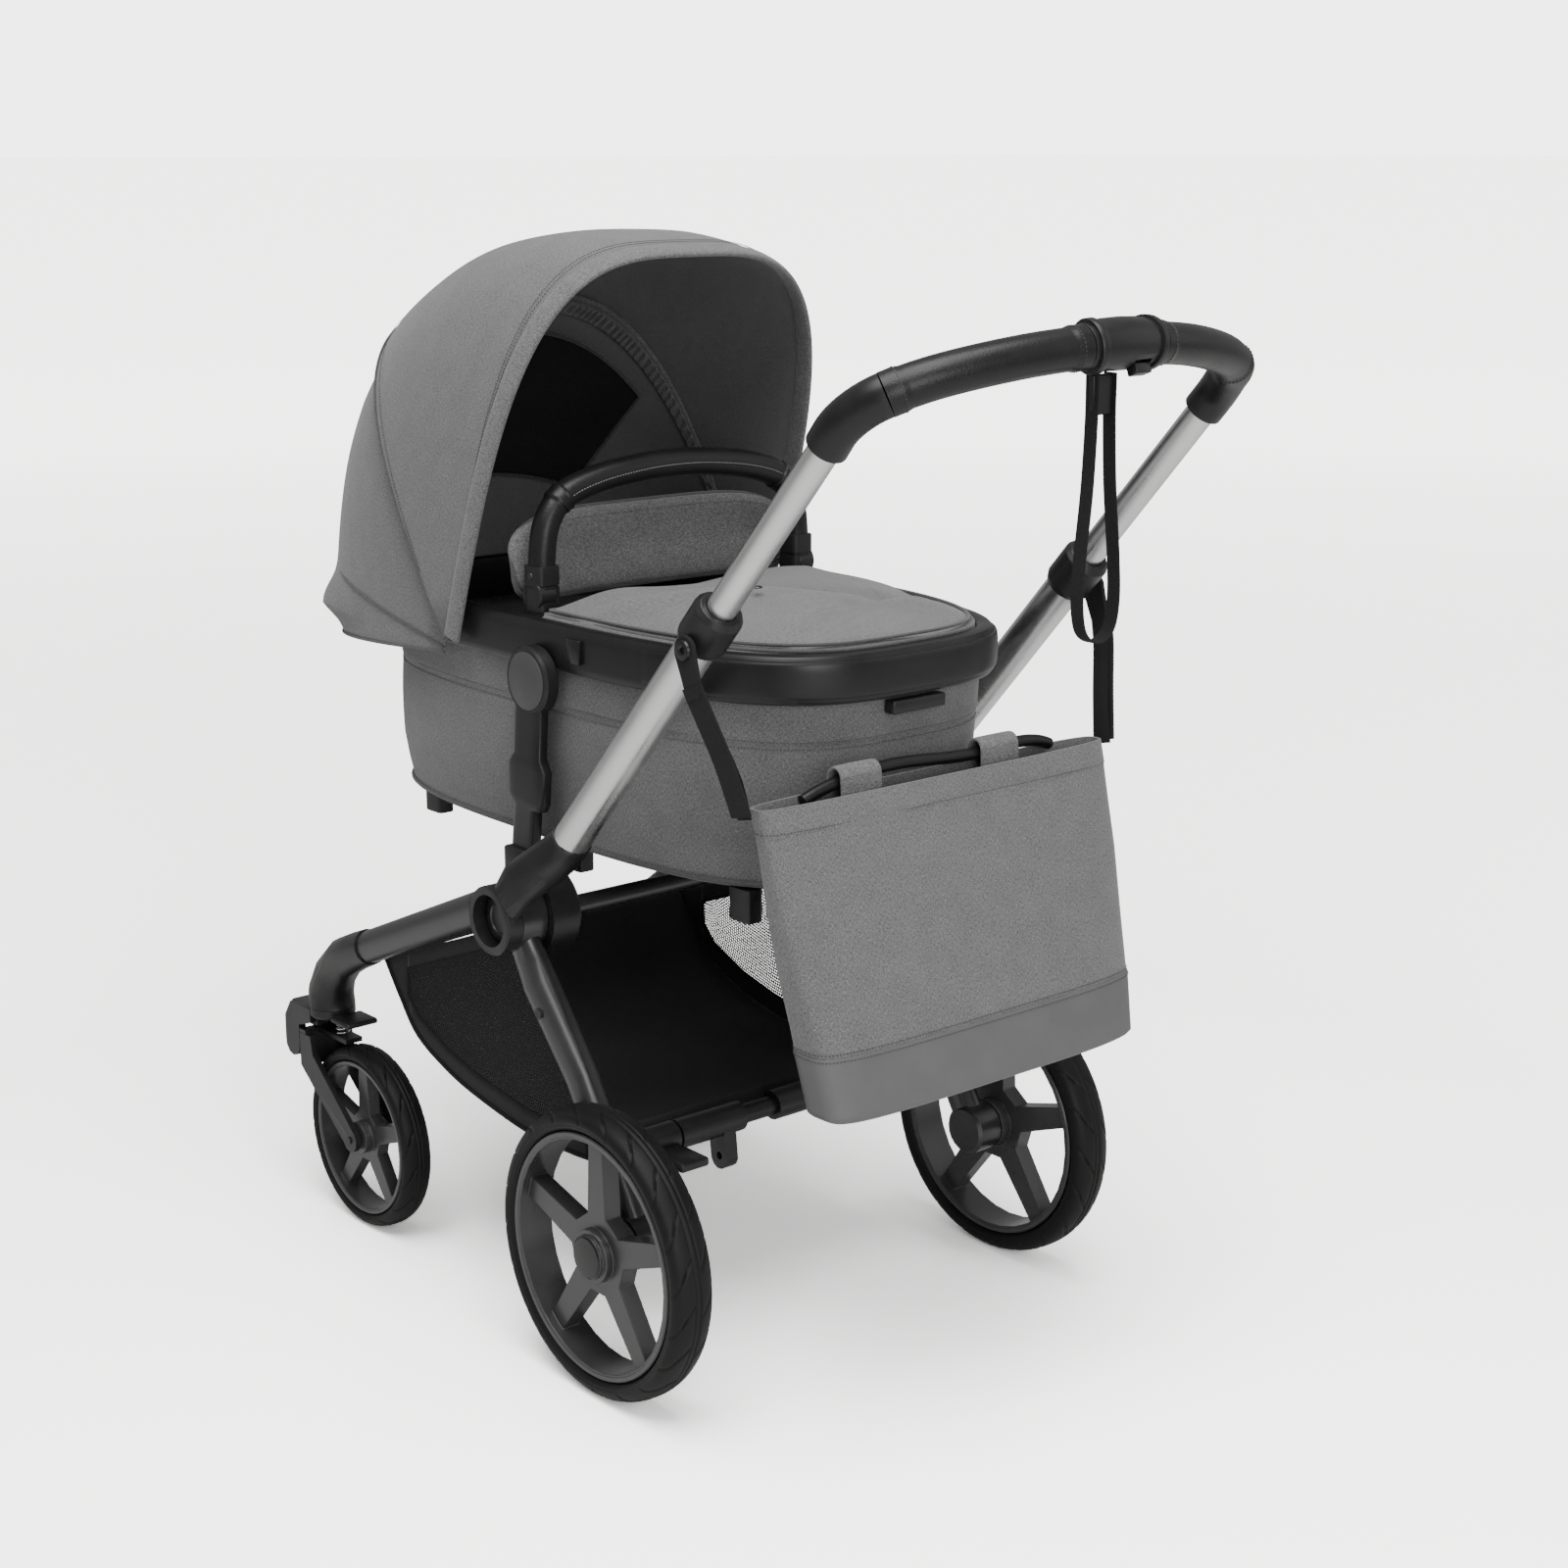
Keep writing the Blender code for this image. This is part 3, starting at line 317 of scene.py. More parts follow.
def stitches(name, path, side, pitch=0.0036, length=0.0024, radius=0.00045):
    # a row of short threads: each is a small six-sided spindle along the path
    spots = evenly(path, spacing=pitch)
    tangent, along, across = frames(spots, side)
    runs = np.array([-0.5, -0.3, 0.3, 0.5]) * length
    girth = np.array([0.35, 1.0, 1.0, 0.35]) * radius
    shape = ring(6)
    grid = (spots[:, None, None] + tangent[:, None, None] * runs[None, :, None, None]
            + (along[:, None, None] * shape[None, None, :, :1]
               + across[:, None, None] * shape[None, None, :, 1:]) * girth[None, :, None, None])
    one = []
    for k in range(3):
        one += [[k * 6 + j, k * 6 + (j + 1) % 6, (k + 1) * 6 + (j + 1) % 6, (k + 1) * 6 + j]
                for j in range(6)]
    one += [[5, 4, 3, 2, 1, 0], [18, 19, 20, 21, 22, 23]]
    faces = [[v + 24 * n for v in face] for n in range(len(spots)) for face in one]
    mesh = bpy.data.meshes.new(name)
    mesh.from_pydata(grid.reshape(-1, 3).tolist(), [], faces)
    obj = bpy.data.objects.new(name, mesh)
    bpy.context.scene.collection.objects.link(obj)
    return outward(obj)


def refined(node, finish, rounding=0.0008):
    # a CAD node's own shape with its doubles merged, flat faces whole again and rounded edges
    obj = bpy.data.objects.new(f"{node}_finish", frame["nodes"][node].data.copy())
    bpy.context.scene.collection.objects.link(obj)
    work = bmesh.new()
    work.from_mesh(obj.data)
    bmesh.ops.remove_doubles(work, verts=work.verts, dist=2e-5)
    bmesh.ops.dissolve_limit(work, angle_limit=math.radians(1.5), verts=work.verts, edges=work.edges)
    work.to_mesh(obj.data)
    work.free()
    dress(obj, bodyOf[node], finish, (node,), 35)
    if rounding:
        rounded(obj, rounding)


# materials
def newGroup(name, inputs, outputs):
    # an empty shader group with named sockets, and its two end nodes
    group = bpy.data.node_groups.new(name, "ShaderNodeTree")
    for title, kind, value in inputs:
        socket = group.interface.new_socket(title, in_out="INPUT", socket_type=kind)
        if value is not None:
            socket.default_value = value
    for title, kind in outputs:
        group.interface.new_socket(title, in_out="OUTPUT", socket_type=kind)
    return group, group.nodes.new("NodeGroupInput"), group.nodes.new("NodeGroupOutput")


def node(tree, kind, inputs, **settings):
    # adds a shader node; each of its inputs is a plain value or the output socket of another node
    made = tree.nodes.new(kind)
    for name, value in settings.items():
        setattr(made, name, value)
    for socket, value in inputs.items():
        if isinstance(value, bpy.types.NodeSocket):
            tree.links.new(value, made.inputs[socket])
        else:
            made.inputs[socket].default_value = value
    return made


def makeMelange():
    # flecked yarn: long streaks along and across the cloth over a fine plain weave
    group, start, end = newGroup("melangeWeave",
                                 [("Vector", "NodeSocketVector", None), ("Fleck", "NodeSocketFloat", 0.5),
                                  ("Threads", "NodeSocketFloat", 900.0)],
                                 [("Shade", "NodeSocketFloat"), ("Height", "NodeSocketFloat")])
    across = node(group, "ShaderNodeMapping", {0: start.outputs[0], 3: (0.30, 1.0, 0.6)})
    down = node(group, "ShaderNodeMapping", {0: start.outputs[0], 3: (1.0, 0.30, 0.6)})
    warp = node(group, "ShaderNodeTexNoise", {"Vector": across.outputs[0], 2: 1150.0, 3: 2.0, 4: 0.6})
    weft = node(group, "ShaderNodeTexNoise", {"Vector": down.outputs[0], 2: 1050.0, 3: 2.0, 4: 0.6})
    cloud = node(group, "ShaderNodeTexNoise", {"Vector": start.outputs[0], 2: 38.0, 3: 2.0, 4: 0.5})
    mixed = node(group, "ShaderNodeMath", {0: warp.outputs[0], 1: weft.outputs[0]}, operation="MULTIPLY")
    spread = node(group, "ShaderNodeMapRange", {0: mixed.outputs[0], 1: 0.14, 2: 0.38, 3: 0.0, 4: 1.0})
    mottle = node(group, "ShaderNodeMath", {0: cloud.outputs[0], 1: 0.30}, operation="MULTIPLY")
    shade = node(group, "ShaderNodeMath", {0: spread.outputs[0], 1: mottle.outputs[0]}, operation="ADD")
    centred = node(group, "ShaderNodeMath", {0: shade.outputs[0], 1: 0.62}, operation="SUBTRACT")
    scaled = node(group, "ShaderNodeMath", {0: centred.outputs[0], 1: start.outputs[1]},
                  operation="MULTIPLY")
    final = node(group, "ShaderNodeMath", {0: scaled.outputs[0], 1: 0.5}, operation="ADD")
    thread = node(group, "ShaderNodeVectorMath", {0: start.outputs[0], 3: start.outputs[2]},
                  operation="SCALE")
    parts = node(group, "ShaderNodeSeparateXYZ", {0: thread.outputs[0]})
    waves = []
    for k in (0, 1):
        turn = node(group, "ShaderNodeMath", {0: parts.outputs[k], 1: 2 * math.pi}, operation="MULTIPLY")
        waves.append(node(group, "ShaderNodeMath", {0: turn.outputs[0]}, operation="SINE"))
    weave = node(group, "ShaderNodeMath", {0: waves[0].outputs[0], 1: waves[1].outputs[0]},
                 operation="MULTIPLY")
    height = node(group, "ShaderNodeMath", {0: weave.outputs[0], 1: 0.35, 2: spread.outputs[0]},
                  operation="MULTIPLY_ADD")
    group.links.new(final.outputs[0], end.inputs[0])
    group.links.new(height.outputs[0], end.inputs[1])
    return group


def makeGrain():
    # moulded or leather grain: small cells, with a broad soft variation
    group, start, end = newGroup("surfaceGrain", [("Vector", "NodeSocketVector", None),
                                                  ("Scale", "NodeSocketFloat", 700.0)],
                                 [("Shade", "NodeSocketFloat"), ("Height", "NodeSocketFloat")])
    cells = node(group, "ShaderNodeTexVoronoi", {"Vector": start.outputs[0], "Scale": start.outputs[1]},
                 feature="SMOOTH_F1")
    broad = node(group, "ShaderNodeTexNoise", {"Vector": start.outputs[0], 2: 22.0, 3: 4.0, 4: 0.55})
    fine = node(group, "ShaderNodeTexNoise", {"Vector": start.outputs[0], "Scale": start.outputs[1],
                                              3: 2.0})
    height = node(group, "ShaderNodeMath", {0: cells.outputs[0], 1: fine.outputs[0]}, operation="ADD")
    group.links.new(broad.outputs[0], end.inputs[0])
    group.links.new(height.outputs[0], end.inputs[1])
    return group


def makeEdgeWear():
    # mask of the raised edges, broken up so that only some of each edge is rubbed
    group, start, end = newGroup("edgeWear", [("Vector", "NodeSocketVector", None),
                                              ("Amount", "NodeSocketFloat", 0.5)],
                                 [("Mask", "NodeSocketFloat")])
    shape = node(group, "ShaderNodeNewGeometry", {})
    edge = node(group, "ShaderNodeMapRange", {0: shape.outputs["Pointiness"], 1: 0.51, 2: 0.62})
    patches = node(group, "ShaderNodeTexNoise", {"Vector": start.outputs[0], 2: 60.0, 3: 3.0, 4: 0.6})
    broken = node(group, "ShaderNodeMath", {0: edge.outputs[0], 1: patches.outputs[0]},
                  operation="MULTIPLY")
    mask = node(group, "ShaderNodeMath", {0: broken.outputs[0], 1: start.outputs[1]},
                operation="MULTIPLY", use_clamp=True)
    group.links.new(mask.outputs[0], end.inputs[0])
    return group


groups = {"melange": makeMelange(), "grain": makeGrain(), "wear": makeEdgeWear()}


def startMaterial(name, roughness, metallic=0.0, sheen=0.0, coat=0.0):
    # a material with the plain values of its shader set
    made = bpy.data.materials.new(name)
    made.use_nodes = True
    tree = made.node_tree
    shader = tree.nodes["Principled BSDF"]
    shader.inputs["Roughness"].default_value = roughness
    shader.inputs["Metallic"].default_value = metallic
    shader.inputs["Sheen Weight"].default_value = sheen
    shader.inputs["Sheen Roughness"].default_value = 0.45
    shader.inputs["Coat Weight"].default_value = coat
    shader.inputs["Coat Roughness"].default_value = 0.25
    shader.inputs["Specular IOR Level"].default_value = 0.32
    return made, tree, shader


def placed(tree, group, **values):
    # puts one of the shared groups into a material with its own values
    made = tree.nodes.new("ShaderNodeGroup")
    made.node_tree = groups[group]
    for title, value in values.items():
        made.inputs[title].default_value = value
    return made


def between(tree, factor, first, second):
    # a colour between two, by a factor
    mix = tree.nodes.new("ShaderNodeMix")
    mix.data_type = "RGBA"
    mix.inputs["A"].default_value = (*first, 1)
    mix.inputs["B"].default_value = (*second, 1)
    tree.links.new(factor, mix.inputs["Factor"])
    return mix.outputs["Result"]


def fabric(name, dark, light, fleck=0.6, threads=900.0, roughness=0.88, sheen=0.25, bump=0.35,
           coordinates="UV"):
    # woven cloth: flecked yarn between two shades, with the weave as relief
    made, tree, shader = startMaterial(name, roughness, sheen=sheen)
    spot = tree.nodes.new("ShaderNodeTexCoord")
    weave = placed(tree, "melange", Fleck=fleck, Threads=threads)
    tree.links.new(spot.outputs[coordinates], weave.inputs["Vector"])
    tree.links.new(between(tree, weave.outputs["Shade"], dark, light), shader.inputs["Base Color"])
    relief = tree.nodes.new("ShaderNodeBump")
    relief.inputs["Strength"].default_value = bump
    relief.inputs["Distance"].default_value = 0.0004
    tree.links.new(weave.outputs["Height"], relief.inputs["Height"])
    tree.links.new(relief.outputs["Normal"], shader.inputs["Normal"])
    return made


def moulded(name, dark, light, roughness, scale=1500.0, bump=0.12, wear=0.35, metallic=0.0, coat=0.0,
            worn=None, specular=0.32):
    # plastic, paint or leather: broad variation, fine grain and rubbed edges
    made, tree, shader = startMaterial(name, roughness, metallic, coat=coat)
    shader.inputs["Specular IOR Level"].default_value = specular
    spot = tree.nodes.new("ShaderNodeTexCoord")
    grain = placed(tree, "grain", Scale=scale)
    rubbed = placed(tree, "wear", Amount=wear)
    for group in (grain, rubbed):
        tree.links.new(spot.outputs["Object"], group.inputs["Vector"])
    base = between(tree, grain.outputs["Shade"], dark, light)
    mix = tree.nodes.new("ShaderNodeMix")
    mix.data_type = "RGBA"
    mix.inputs["B"].default_value = (*(worn or tuple(2.2 * c + 0.02 for c in light)), 1)
    tree.links.new(base, mix.inputs["A"])
    tree.links.new(rubbed.outputs["Mask"], mix.inputs["Factor"])
    tree.links.new(mix.outputs["Result"], shader.inputs["Base Color"])
    rough = node(tree, "ShaderNodeMapRange", {0: grain.outputs["Shade"], 1: 0.3, 2: 0.7,
                                              3: roughness - 0.05, 4: roughness + 0.06})
    tree.links.new(rough.outputs[0], shader.inputs["Roughness"])
    relief = tree.nodes.new("ShaderNodeBump")
    relief.inputs["Strength"].default_value = bump
    relief.inputs["Distance"].default_value = 0.0003
    tree.links.new(grain.outputs["Height"], relief.inputs["Height"])
    tree.links.new(relief.outputs["Normal"], shader.inputs["Normal"])
    return made


def netting(name, colour, pitch, hole):
    # knitted mesh: round holes in staggered rows, cut by the alpha
    made, tree, shader = startMaterial(name, 0.8)
    shader.inputs["Base Color"].default_value = (*colour, 1)
    spot = tree.nodes.new("ShaderNodeTexCoord")
    scaled = node(tree, "ShaderNodeVectorMath", {0: spot.outputs["UV"], 3: 1 / pitch},
                  operation="SCALE")
    cells = tree.nodes.new("ShaderNodeTexVoronoi")
    cells.voronoi_dimensions = "2D"
    cells.inputs["Scale"].default_value = 1.0
    cells.inputs["Randomness"].default_value = 0.12
    tree.links.new(scaled.outputs[0], cells.inputs["Vector"])
    opening = node(tree, "ShaderNodeMapRange", {0: cells.outputs["Distance"], 1: hole - 0.06,
                                                2: hole + 0.06})
    tree.links.new(opening.outputs[0], shader.inputs["Alpha"])
    shade = node(tree, "ShaderNodeMapRange", {0: cells.outputs["Distance"], 1: 0.2, 2: 0.7, 3: 0.6,
                                              4: 1.0})
    tint = between(tree, shade.outputs[0], tuple(0.5 * c for c in colour), colour)
    tree.links.new(tint, shader.inputs["Base Color"])
    return made


grey = dict(dark=(0.048, 0.048, 0.049), light=(0.185, 0.185, 0.187), fleck=0.8)
finishes = {
    "fabric": fabric("greyMelange", **grey),
    "fabricObject": fabric("greyMelangePadded", **grey, coordinates="Object"),
    "piping": fabric("greyPiping", (0.030, 0.030, 0.031), (0.085, 0.085, 0.087), coordinates="Object"),
    "lining": fabric("darkLining", (0.062, 0.062, 0.063), (0.175, 0.175, 0.177), fleck=0.4),
    "black": fabric("blackFabric", (0.004, 0.004, 0.0045), (0.014, 0.014, 0.015), fleck=0.5,
                    threads=700.0, sheen=0.1),
    "webbing": fabric("blackWebbing", (0.003, 0.003, 0.003), (0.010, 0.010, 0.011), threads=520.0,
                      bump=0.7, sheen=0.02),
    "mattress": fabric("mattressKnit", (0.20, 0.20, 0.20), (0.36, 0.36, 0.36), coordinates="Object"),
    "window": fabric("blackWindow", (0.004, 0.004, 0.004), (0.012, 0.012, 0.012), threads=600.0,
                     sheen=0.05),
    "blackNet": netting("blackNet", (0.010, 0.010, 0.010), 0.0036, 0.25),
    "plastic": moulded("blackPlastic", (0.004, 0.004, 0.0045), (0.010, 0.010, 0.0105), 0.36,
                       worn=(0.05, 0.05, 0.05)),
    "gloss": moulded("glossPlastic", (0.006, 0.006, 0.006), (0.012, 0.012, 0.012), 0.22, bump=0.02,
                     wear=0.1),
    "disc": moulded("discGrey", (0.036, 0.036, 0.037), (0.052, 0.052, 0.053), 0.40, bump=0.05),
    "rim": moulded("rimGraphite", (0.022, 0.022, 0.023), (0.038, 0.038, 0.039), 0.30, bump=0.03,
                   wear=0.4, specular=0.5),
    "rubber": moulded("tyreRubber", (0.004, 0.004, 0.004), (0.009, 0.009, 0.009), 0.50, scale=900.0,
                      bump=0.2, specular=0.18),
    "leather": moulded("gripLeather", (0.003, 0.003, 0.0035), (0.008, 0.008, 0.0085), 0.36,
                       scale=620.0, bump=0.45),
    "band": moulded("baseBand", (0.085, 0.085, 0.087), (0.115, 0.115, 0.117), 0.50, scale=800.0,
                    bump=0.25, wear=0.1),
    "silver": moulded("satinAluminium", (0.56, 0.56, 0.56), (0.68, 0.68, 0.68), 0.30, scale=2500.0,
                      bump=0.0, wear=0.0, metallic=1.0),
    "graphite": moulded("graphiteAluminium", (0.060, 0.060, 0.061), (0.085, 0.085, 0.087), 0.34,
                        scale=2500.0, bump=0.02, wear=0.0, metallic=0.85),
    "steel": moulded("springSteel", (0.45, 0.45, 0.45), (0.6, 0.6, 0.6), 0.25, bump=0.02, metallic=1.0),
    "thread": fabric("thread", (0.02, 0.02, 0.02), (0.05, 0.05, 0.05), coordinates="Object"),
    "paleThread": fabric("paleThread", (0.16, 0.16, 0.16), (0.24, 0.24, 0.24), coordinates="Object"),
    "zip": moulded("zipMetal", (0.03, 0.03, 0.03), (0.06, 0.06, 0.06), 0.35, metallic=0.8),
}
print("materials ready")

makeStudio(studio)


# the stroller's own lines, measured from the rear axle
pivot = np.array((0.0, -0.1790, 0.4560))
pushDirection = np.array((0.0, math.cos(math.radians(47.9)), math.sin(math.radians(47.9))))
pushX = 0.2425


def pushPoint(distance, side=1):
    # point on the middle line of a push tube, at a distance from its pivot
    return pivot + pushDirection * distance + np.array((side * pushX, 0, 0))


def planRing(z, halfX, yLow, yHigh, columns=160, power=3.2):
    # rounded plan outline of the carrycot at one height
    shape = ring(columns, power)
    return np.stack([halfX * shape[:, 0], (yLow + yHigh) / 2 + (yHigh - yLow) / 2 * shape[:, 1],
                     np.full(columns, z)], -1)


canopyAxis = (-0.345, 0.700)  # y and z of the line that the canopy's bows turn about


def archRing(angle, radius, halfX, columns=96, low=0.0, high=1.0, power=3.4, foot=0.020):
    # the canopy's bow in a plane that leans by angle about its axis: a superellipse, from one share of the
    # half turn to another
    turn = math.pi * np.linspace(low, high, columns + 1)
    c, s = np.cos(turn), np.sin(turn)
    x = halfX * np.sign(c) * np.abs(c) ** (2 / power)
    reach = foot + (radius - foot) * np.abs(s) ** (2 / power)
    lean = math.radians(angle)
    y, z = canopyAxis[0] + reach * math.cos(lean), canopyAxis[1] + reach * math.sin(lean)
    return np.stack([x, y, z], -1)


def normalsOf(points, wrap=False):
    # unit normals of a grid: the cross product of its slopes along rows and columns
    if wrap:
        wide = np.concatenate([points[:, -1:], points, points[:, :1]], 1)
        across = np.gradient(wide, axis=1)[:, 1:-1]
    else:
        across = np.gradient(points, axis=1)
    out = np.cross(across, np.gradient(points, axis=0))
    return out / np.maximum(np.linalg.norm(out, axis=2, keepdims=True), 1e-9)


def pushed(points, amount, wrap=False):
    # moves a grid along its own normals by an amount for each point
    return points + normalsOf(points, wrap) * np.asarray(amount)[..., None]


def creases(points, size, seed, scale=1.0):
    # soft folds: sines in five slanting directions whose phases wander with one another
    rng = np.random.default_rng(seed)
    total = np.zeros(points.shape[:2])
    for k in range(5):
        aim = rng.normal(size=3)
        aim /= np.linalg.norm(aim)
        turn = points @ aim * rng.uniform(28, 75) * scale + rng.uniform(0, 6.28)
        bend = points @ np.roll(aim, 1) * rng.uniform(10, 30) * scale
        total += np.sin(turn + 1.6 * np.sin(bend)) / 5
    return total * size


# hard pieces that keep their own shape: each has a finish and the width of its rounded edges
pairFinish = {
    "frame_joint": ("plastic", 0.0018), "front_elbow": ("plastic", 0.0), "rear_leg": ("graphite", 0.0010),
    "joint_ring": ("plastic", 0.0018), "telescope_collar": ("plastic", 0.0010),
    "caster_head": ("plastic", 0.0022), "swivel_lock": ("plastic", 0.0), "fork": ("plastic", 0.0018),
    "rail_button": ("gloss", 0.0004)}
singleFinish = {
    "cross_tube": ("graphite", 0.0), "rear_cross_bar": ("plastic", 0.0008), "handle_button": ("gloss", 0.0),
    "brake_pedal": ("plastic", 0.0008), "carrycot_release": ("plastic", 0.0),
    "handle_housing": ("plastic", 0.0008)}
for part, (finish, width) in pairFinish.items():
    for word, side in sides:
        refined(f"{part}_{word}", finish, width)
for part, (finish, width) in singleFinish.items():
    refined(part, finish, width)

tubes = {"columns": 56, "frontHalf": (0.0178, 0.0190), "push": (0.1317, 0.4393, 0.0195),
         "slide": (0.3000, 0.7000, 0.0145)}
riserShape = {"x": 0.2138, "head": (0, -0.1940, 0.6950)}
frontSlope = math.radians(23.06)


def frontPoint(distance, side):
    # point on the middle line of a front tube, at a distance from the pivot
    along = np.array((0, -math.cos(frontSlope), -math.sin(frontSlope)))
    normal = np.array((0, -math.sin(frontSlope), math.cos(frontSlope)))
    out = np.array((side * (0.2485 - 0.0094 * distance), 0, 0))
    return pivot + normal * 0.0189 + along * distance + out


for word, side in sides:
    start, end, radius = tubes["push"]
    tube = bar(f"push_tube_{word}_finish", [pushPoint(start, side), pushPoint(end, side)],
               (radius, radius), columns=tubes["columns"])
    place(tube, "push_frame", "silver", [f"push_tube_{word}"])
    start, end, radius = tubes["slide"]
    tube = bar(f"slide_tube_{word}_finish", [pushPoint(start, side), pushPoint(end, side)],
               (radius, radius), columns=tubes["columns"])
    place(tube, "handle", "silver", [f"slide_tube_{word}"])
    tube = bar(f"front_tube_{word}_finish", [frontPoint(0.0643, side), frontPoint(0.32, side)],
               tubes["frontHalf"], columns=tubes["columns"])
    place(tube, "chassis", "graphite", [f"front_tube_{word}"])
    profile = [(0, 0.2660), (0.0262, 0.2660), (0.0262, 0.2712), (0.0240, 0.2730), (0.0160, 0.2734),
               (0.0150, 0.2722), (0, 0.2722)]
    place(turned(f"joint_cap_{word}", profile, (0, pivot[1], pivot[2]), (side, 0, 0), 64, False),
          "chassis", "graphite")
    profile = [(0, 0.2200), (0.0300, 0.2200), (0.0300, 0.2229), (0.0288, 0.2236), (0, 0.2236)]
    place(turned(f"riser_disc_{word}", profile, riserShape["head"], (side, 0, 0), 64, False), "chassis",
          "disc")
    x = side * riserShape["x"]
    steps = ((0.5145, -0.2130, 0.0078, 0.0190), (0.5600, -0.2072, 0.0078, 0.0185),
             (0.5640, -0.2068, 0.0086, 0.0285), (0.5700, -0.2050, 0.0088, 0.0310),
             (0.6020, -0.2022, 0.0088, 0.0315), (0.6090, -0.2018, 0.0086, 0.0270),
             (0.6150, -0.2012, 0.0080, 0.0225), (0.6900, -0.1950, 0.0080, 0.0230))
    post = bar("row", [(x, y, z) for z, y, _, _ in steps], [(a, b) for _, _, a, b in steps], (1, 0, 0),
               48, 4.0)
    profile = [(0, 0.2060), (0.0345, 0.2060), (0.0360, 0.2075), (0.0360, 0.2195), (0.0335, 0.2222),
               (0, 0.2222)]
    head = turned("row", profile, riserShape["head"], (side, 0, 0), 96, False)
    place(joined(f"riser_{word}_finish", [post, head]), "chassis", "plastic", [f"riser_{word}"])
    # hexagon bolt on the rear leg, below the joint
    down = np.array((0, 0.179, 0.151 - 0.456))
    spot = pivot + down / np.linalg.norm(down) * 0.105 + np.array((side * 0.2620, 0, 0))
    place(turned(f"leg_bolt_{word}", [(0, 0), (0.0062, 0), (0.0062, 0.0030), (0.0052, 0.0038),
                                      (0, 0.0038)], spot, (side, 0, 0), 6, False), "chassis", "plastic",
          angle=20)
print("frame finished")

# wheels
wheelSettings = {
    "rear_wheel": {"radius": 0.1510, "half": 0.0236, "track": 0.2786, "y": 0.0, "cap": True, "blocks": 20},
    "front_wheel": {"radius": 0.1073, "half": 0.0180, "track": 0.2322, "y": -0.5200, "cap": False,
                    "blocks": 16}}


def makeTyre(name, size, side, body):
    # the section runs from bead to bead; its radius and width shrink where a groove crosses it, and the
    # grooves slant one way over each shoulder, at even steps round the wheel
    radius, half = size["radius"], size["half"]
    shape = [(0.845, 0.70), (0.862, 0.86), (0.890, 0.985), (0.925, 0.990), (0.955, 0.90), (0.976, 0.74),
             (0.991, 0.50), (0.999, 0.24), (1.0, 0.0)]
    section = np.array([(r * radius, h * half, 0) for r, h in shape])
    section = smoothLine(section, 5)
    section = np.concatenate([section, section[-2::-1] * np.array((1, -1, 1))])
    steps = size["blocks"] * 20
    turn = np.arange(steps) * 2 * math.pi / steps
    r = np.repeat(section[:, :1], steps, 1)
    h = np.repeat(section[:, 1:2], steps, 1)
    share = np.abs(h) / half
    phase = size["blocks"] * turn[None] + 5.2 * share**1.3 * np.sign(h) + np.where(h > 0, 0, math.pi)
    notch = np.clip((np.cos(phase) - 0.93) / 0.05, 0, 1)
    worn = np.clip((r / radius - 0.905) / 0.03, 0, 1) * np.clip((share - 0.16) / 0.08, 0, 1)
    channel = np.exp(-((share - 0.13) / 0.05) ** 2) * np.clip((r / radius - 0.95) / 0.02, 0, 1)
    bead = np.exp(-((r / radius - 0.897) / 0.006) ** 2)
    depth = 0.0012 * notch * worn + 0.0014 * channel
    r = r - depth * (0.45 + 0.55 * np.clip((r / radius - 0.95) / 0.04, 0, 1))
    h = h - np.sign(h) * (0.0009 * notch * worn + 0.0007 * bead)
    points = np.stack([side * h, r * np.cos(turn), r * np.sin(turn)], -1)
    points = points + np.array((side * size["track"], size["y"], radius))
    # the section is closed across the seat so that the tyre is one solid ring
    tyre = outward(surface(f"{name}_tyre_finish", points, True, True))
    place(tyre, body, "rubber", [f"{name}_tyre"], 50)


for word, side in sides:
    for kind, size in wheelSettings.items():
        name = f"{kind}_{word}"
        makeTyre(name, size, side, name)
        refined(f"{name}_rim", "rim", 0.0012)
        centre = (side * size["track"], size["y"], size["radius"])
        if size["cap"]:
            profile = [(0, 0.0216), (0.0222, 0.0216), (0.0222, 0.0226), (0.0205, 0.0240),
                       (0.0120, 0.0247), (0, 0.0249)]
            place(turned(f"{name}_hub_cap", profile, centre, (side, 0, 0), 64, False), name, "gloss",
                  angle=30)
        for flank in (1, -1):
            rimLip = [(0.800, 0.81), (0.812, 0.89), (0.838, 0.90), (0.846, 0.84), (0.838, 0.78),
                      (0.806, 0.76)]
            profile = [(r * size["radius"], flank * h * size["half"]) for r, h in rimLip]
            place(turned(f"{name}_lip_{'outer' if flank > 0 else 'inner'}", profile, centre, (side, 0, 0),
                         128), name, "rim", angle=30)
print("wheels finished")

# suspension springs
springShape = {"centre": (0.2320, -0.5720), "low": 0.2182, "high": 0.2358, "radius": 0.0070, "wire": 0.0013}
springX, springY = springShape["centre"]
for word, side in sides:
    turn = np.linspace(0, 6 * math.pi, 97)
    rise = np.linspace(springShape["low"] + 0.0014, springShape["high"] - 0.0014, 97)
    path = np.stack([side * springX + springShape["radius"] * np.cos(turn),
                     springY + springShape["radius"] * np.sin(turn), rise], -1)
    coil = bar(f"suspension_spring_{word}_finish", path, (springShape["wire"],) * 2, side=(0, 0, 1),
               columns=12)
    place(coil, f"caster_{word}", "steel", [f"suspension_spring_{word}"])
    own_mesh(coil)

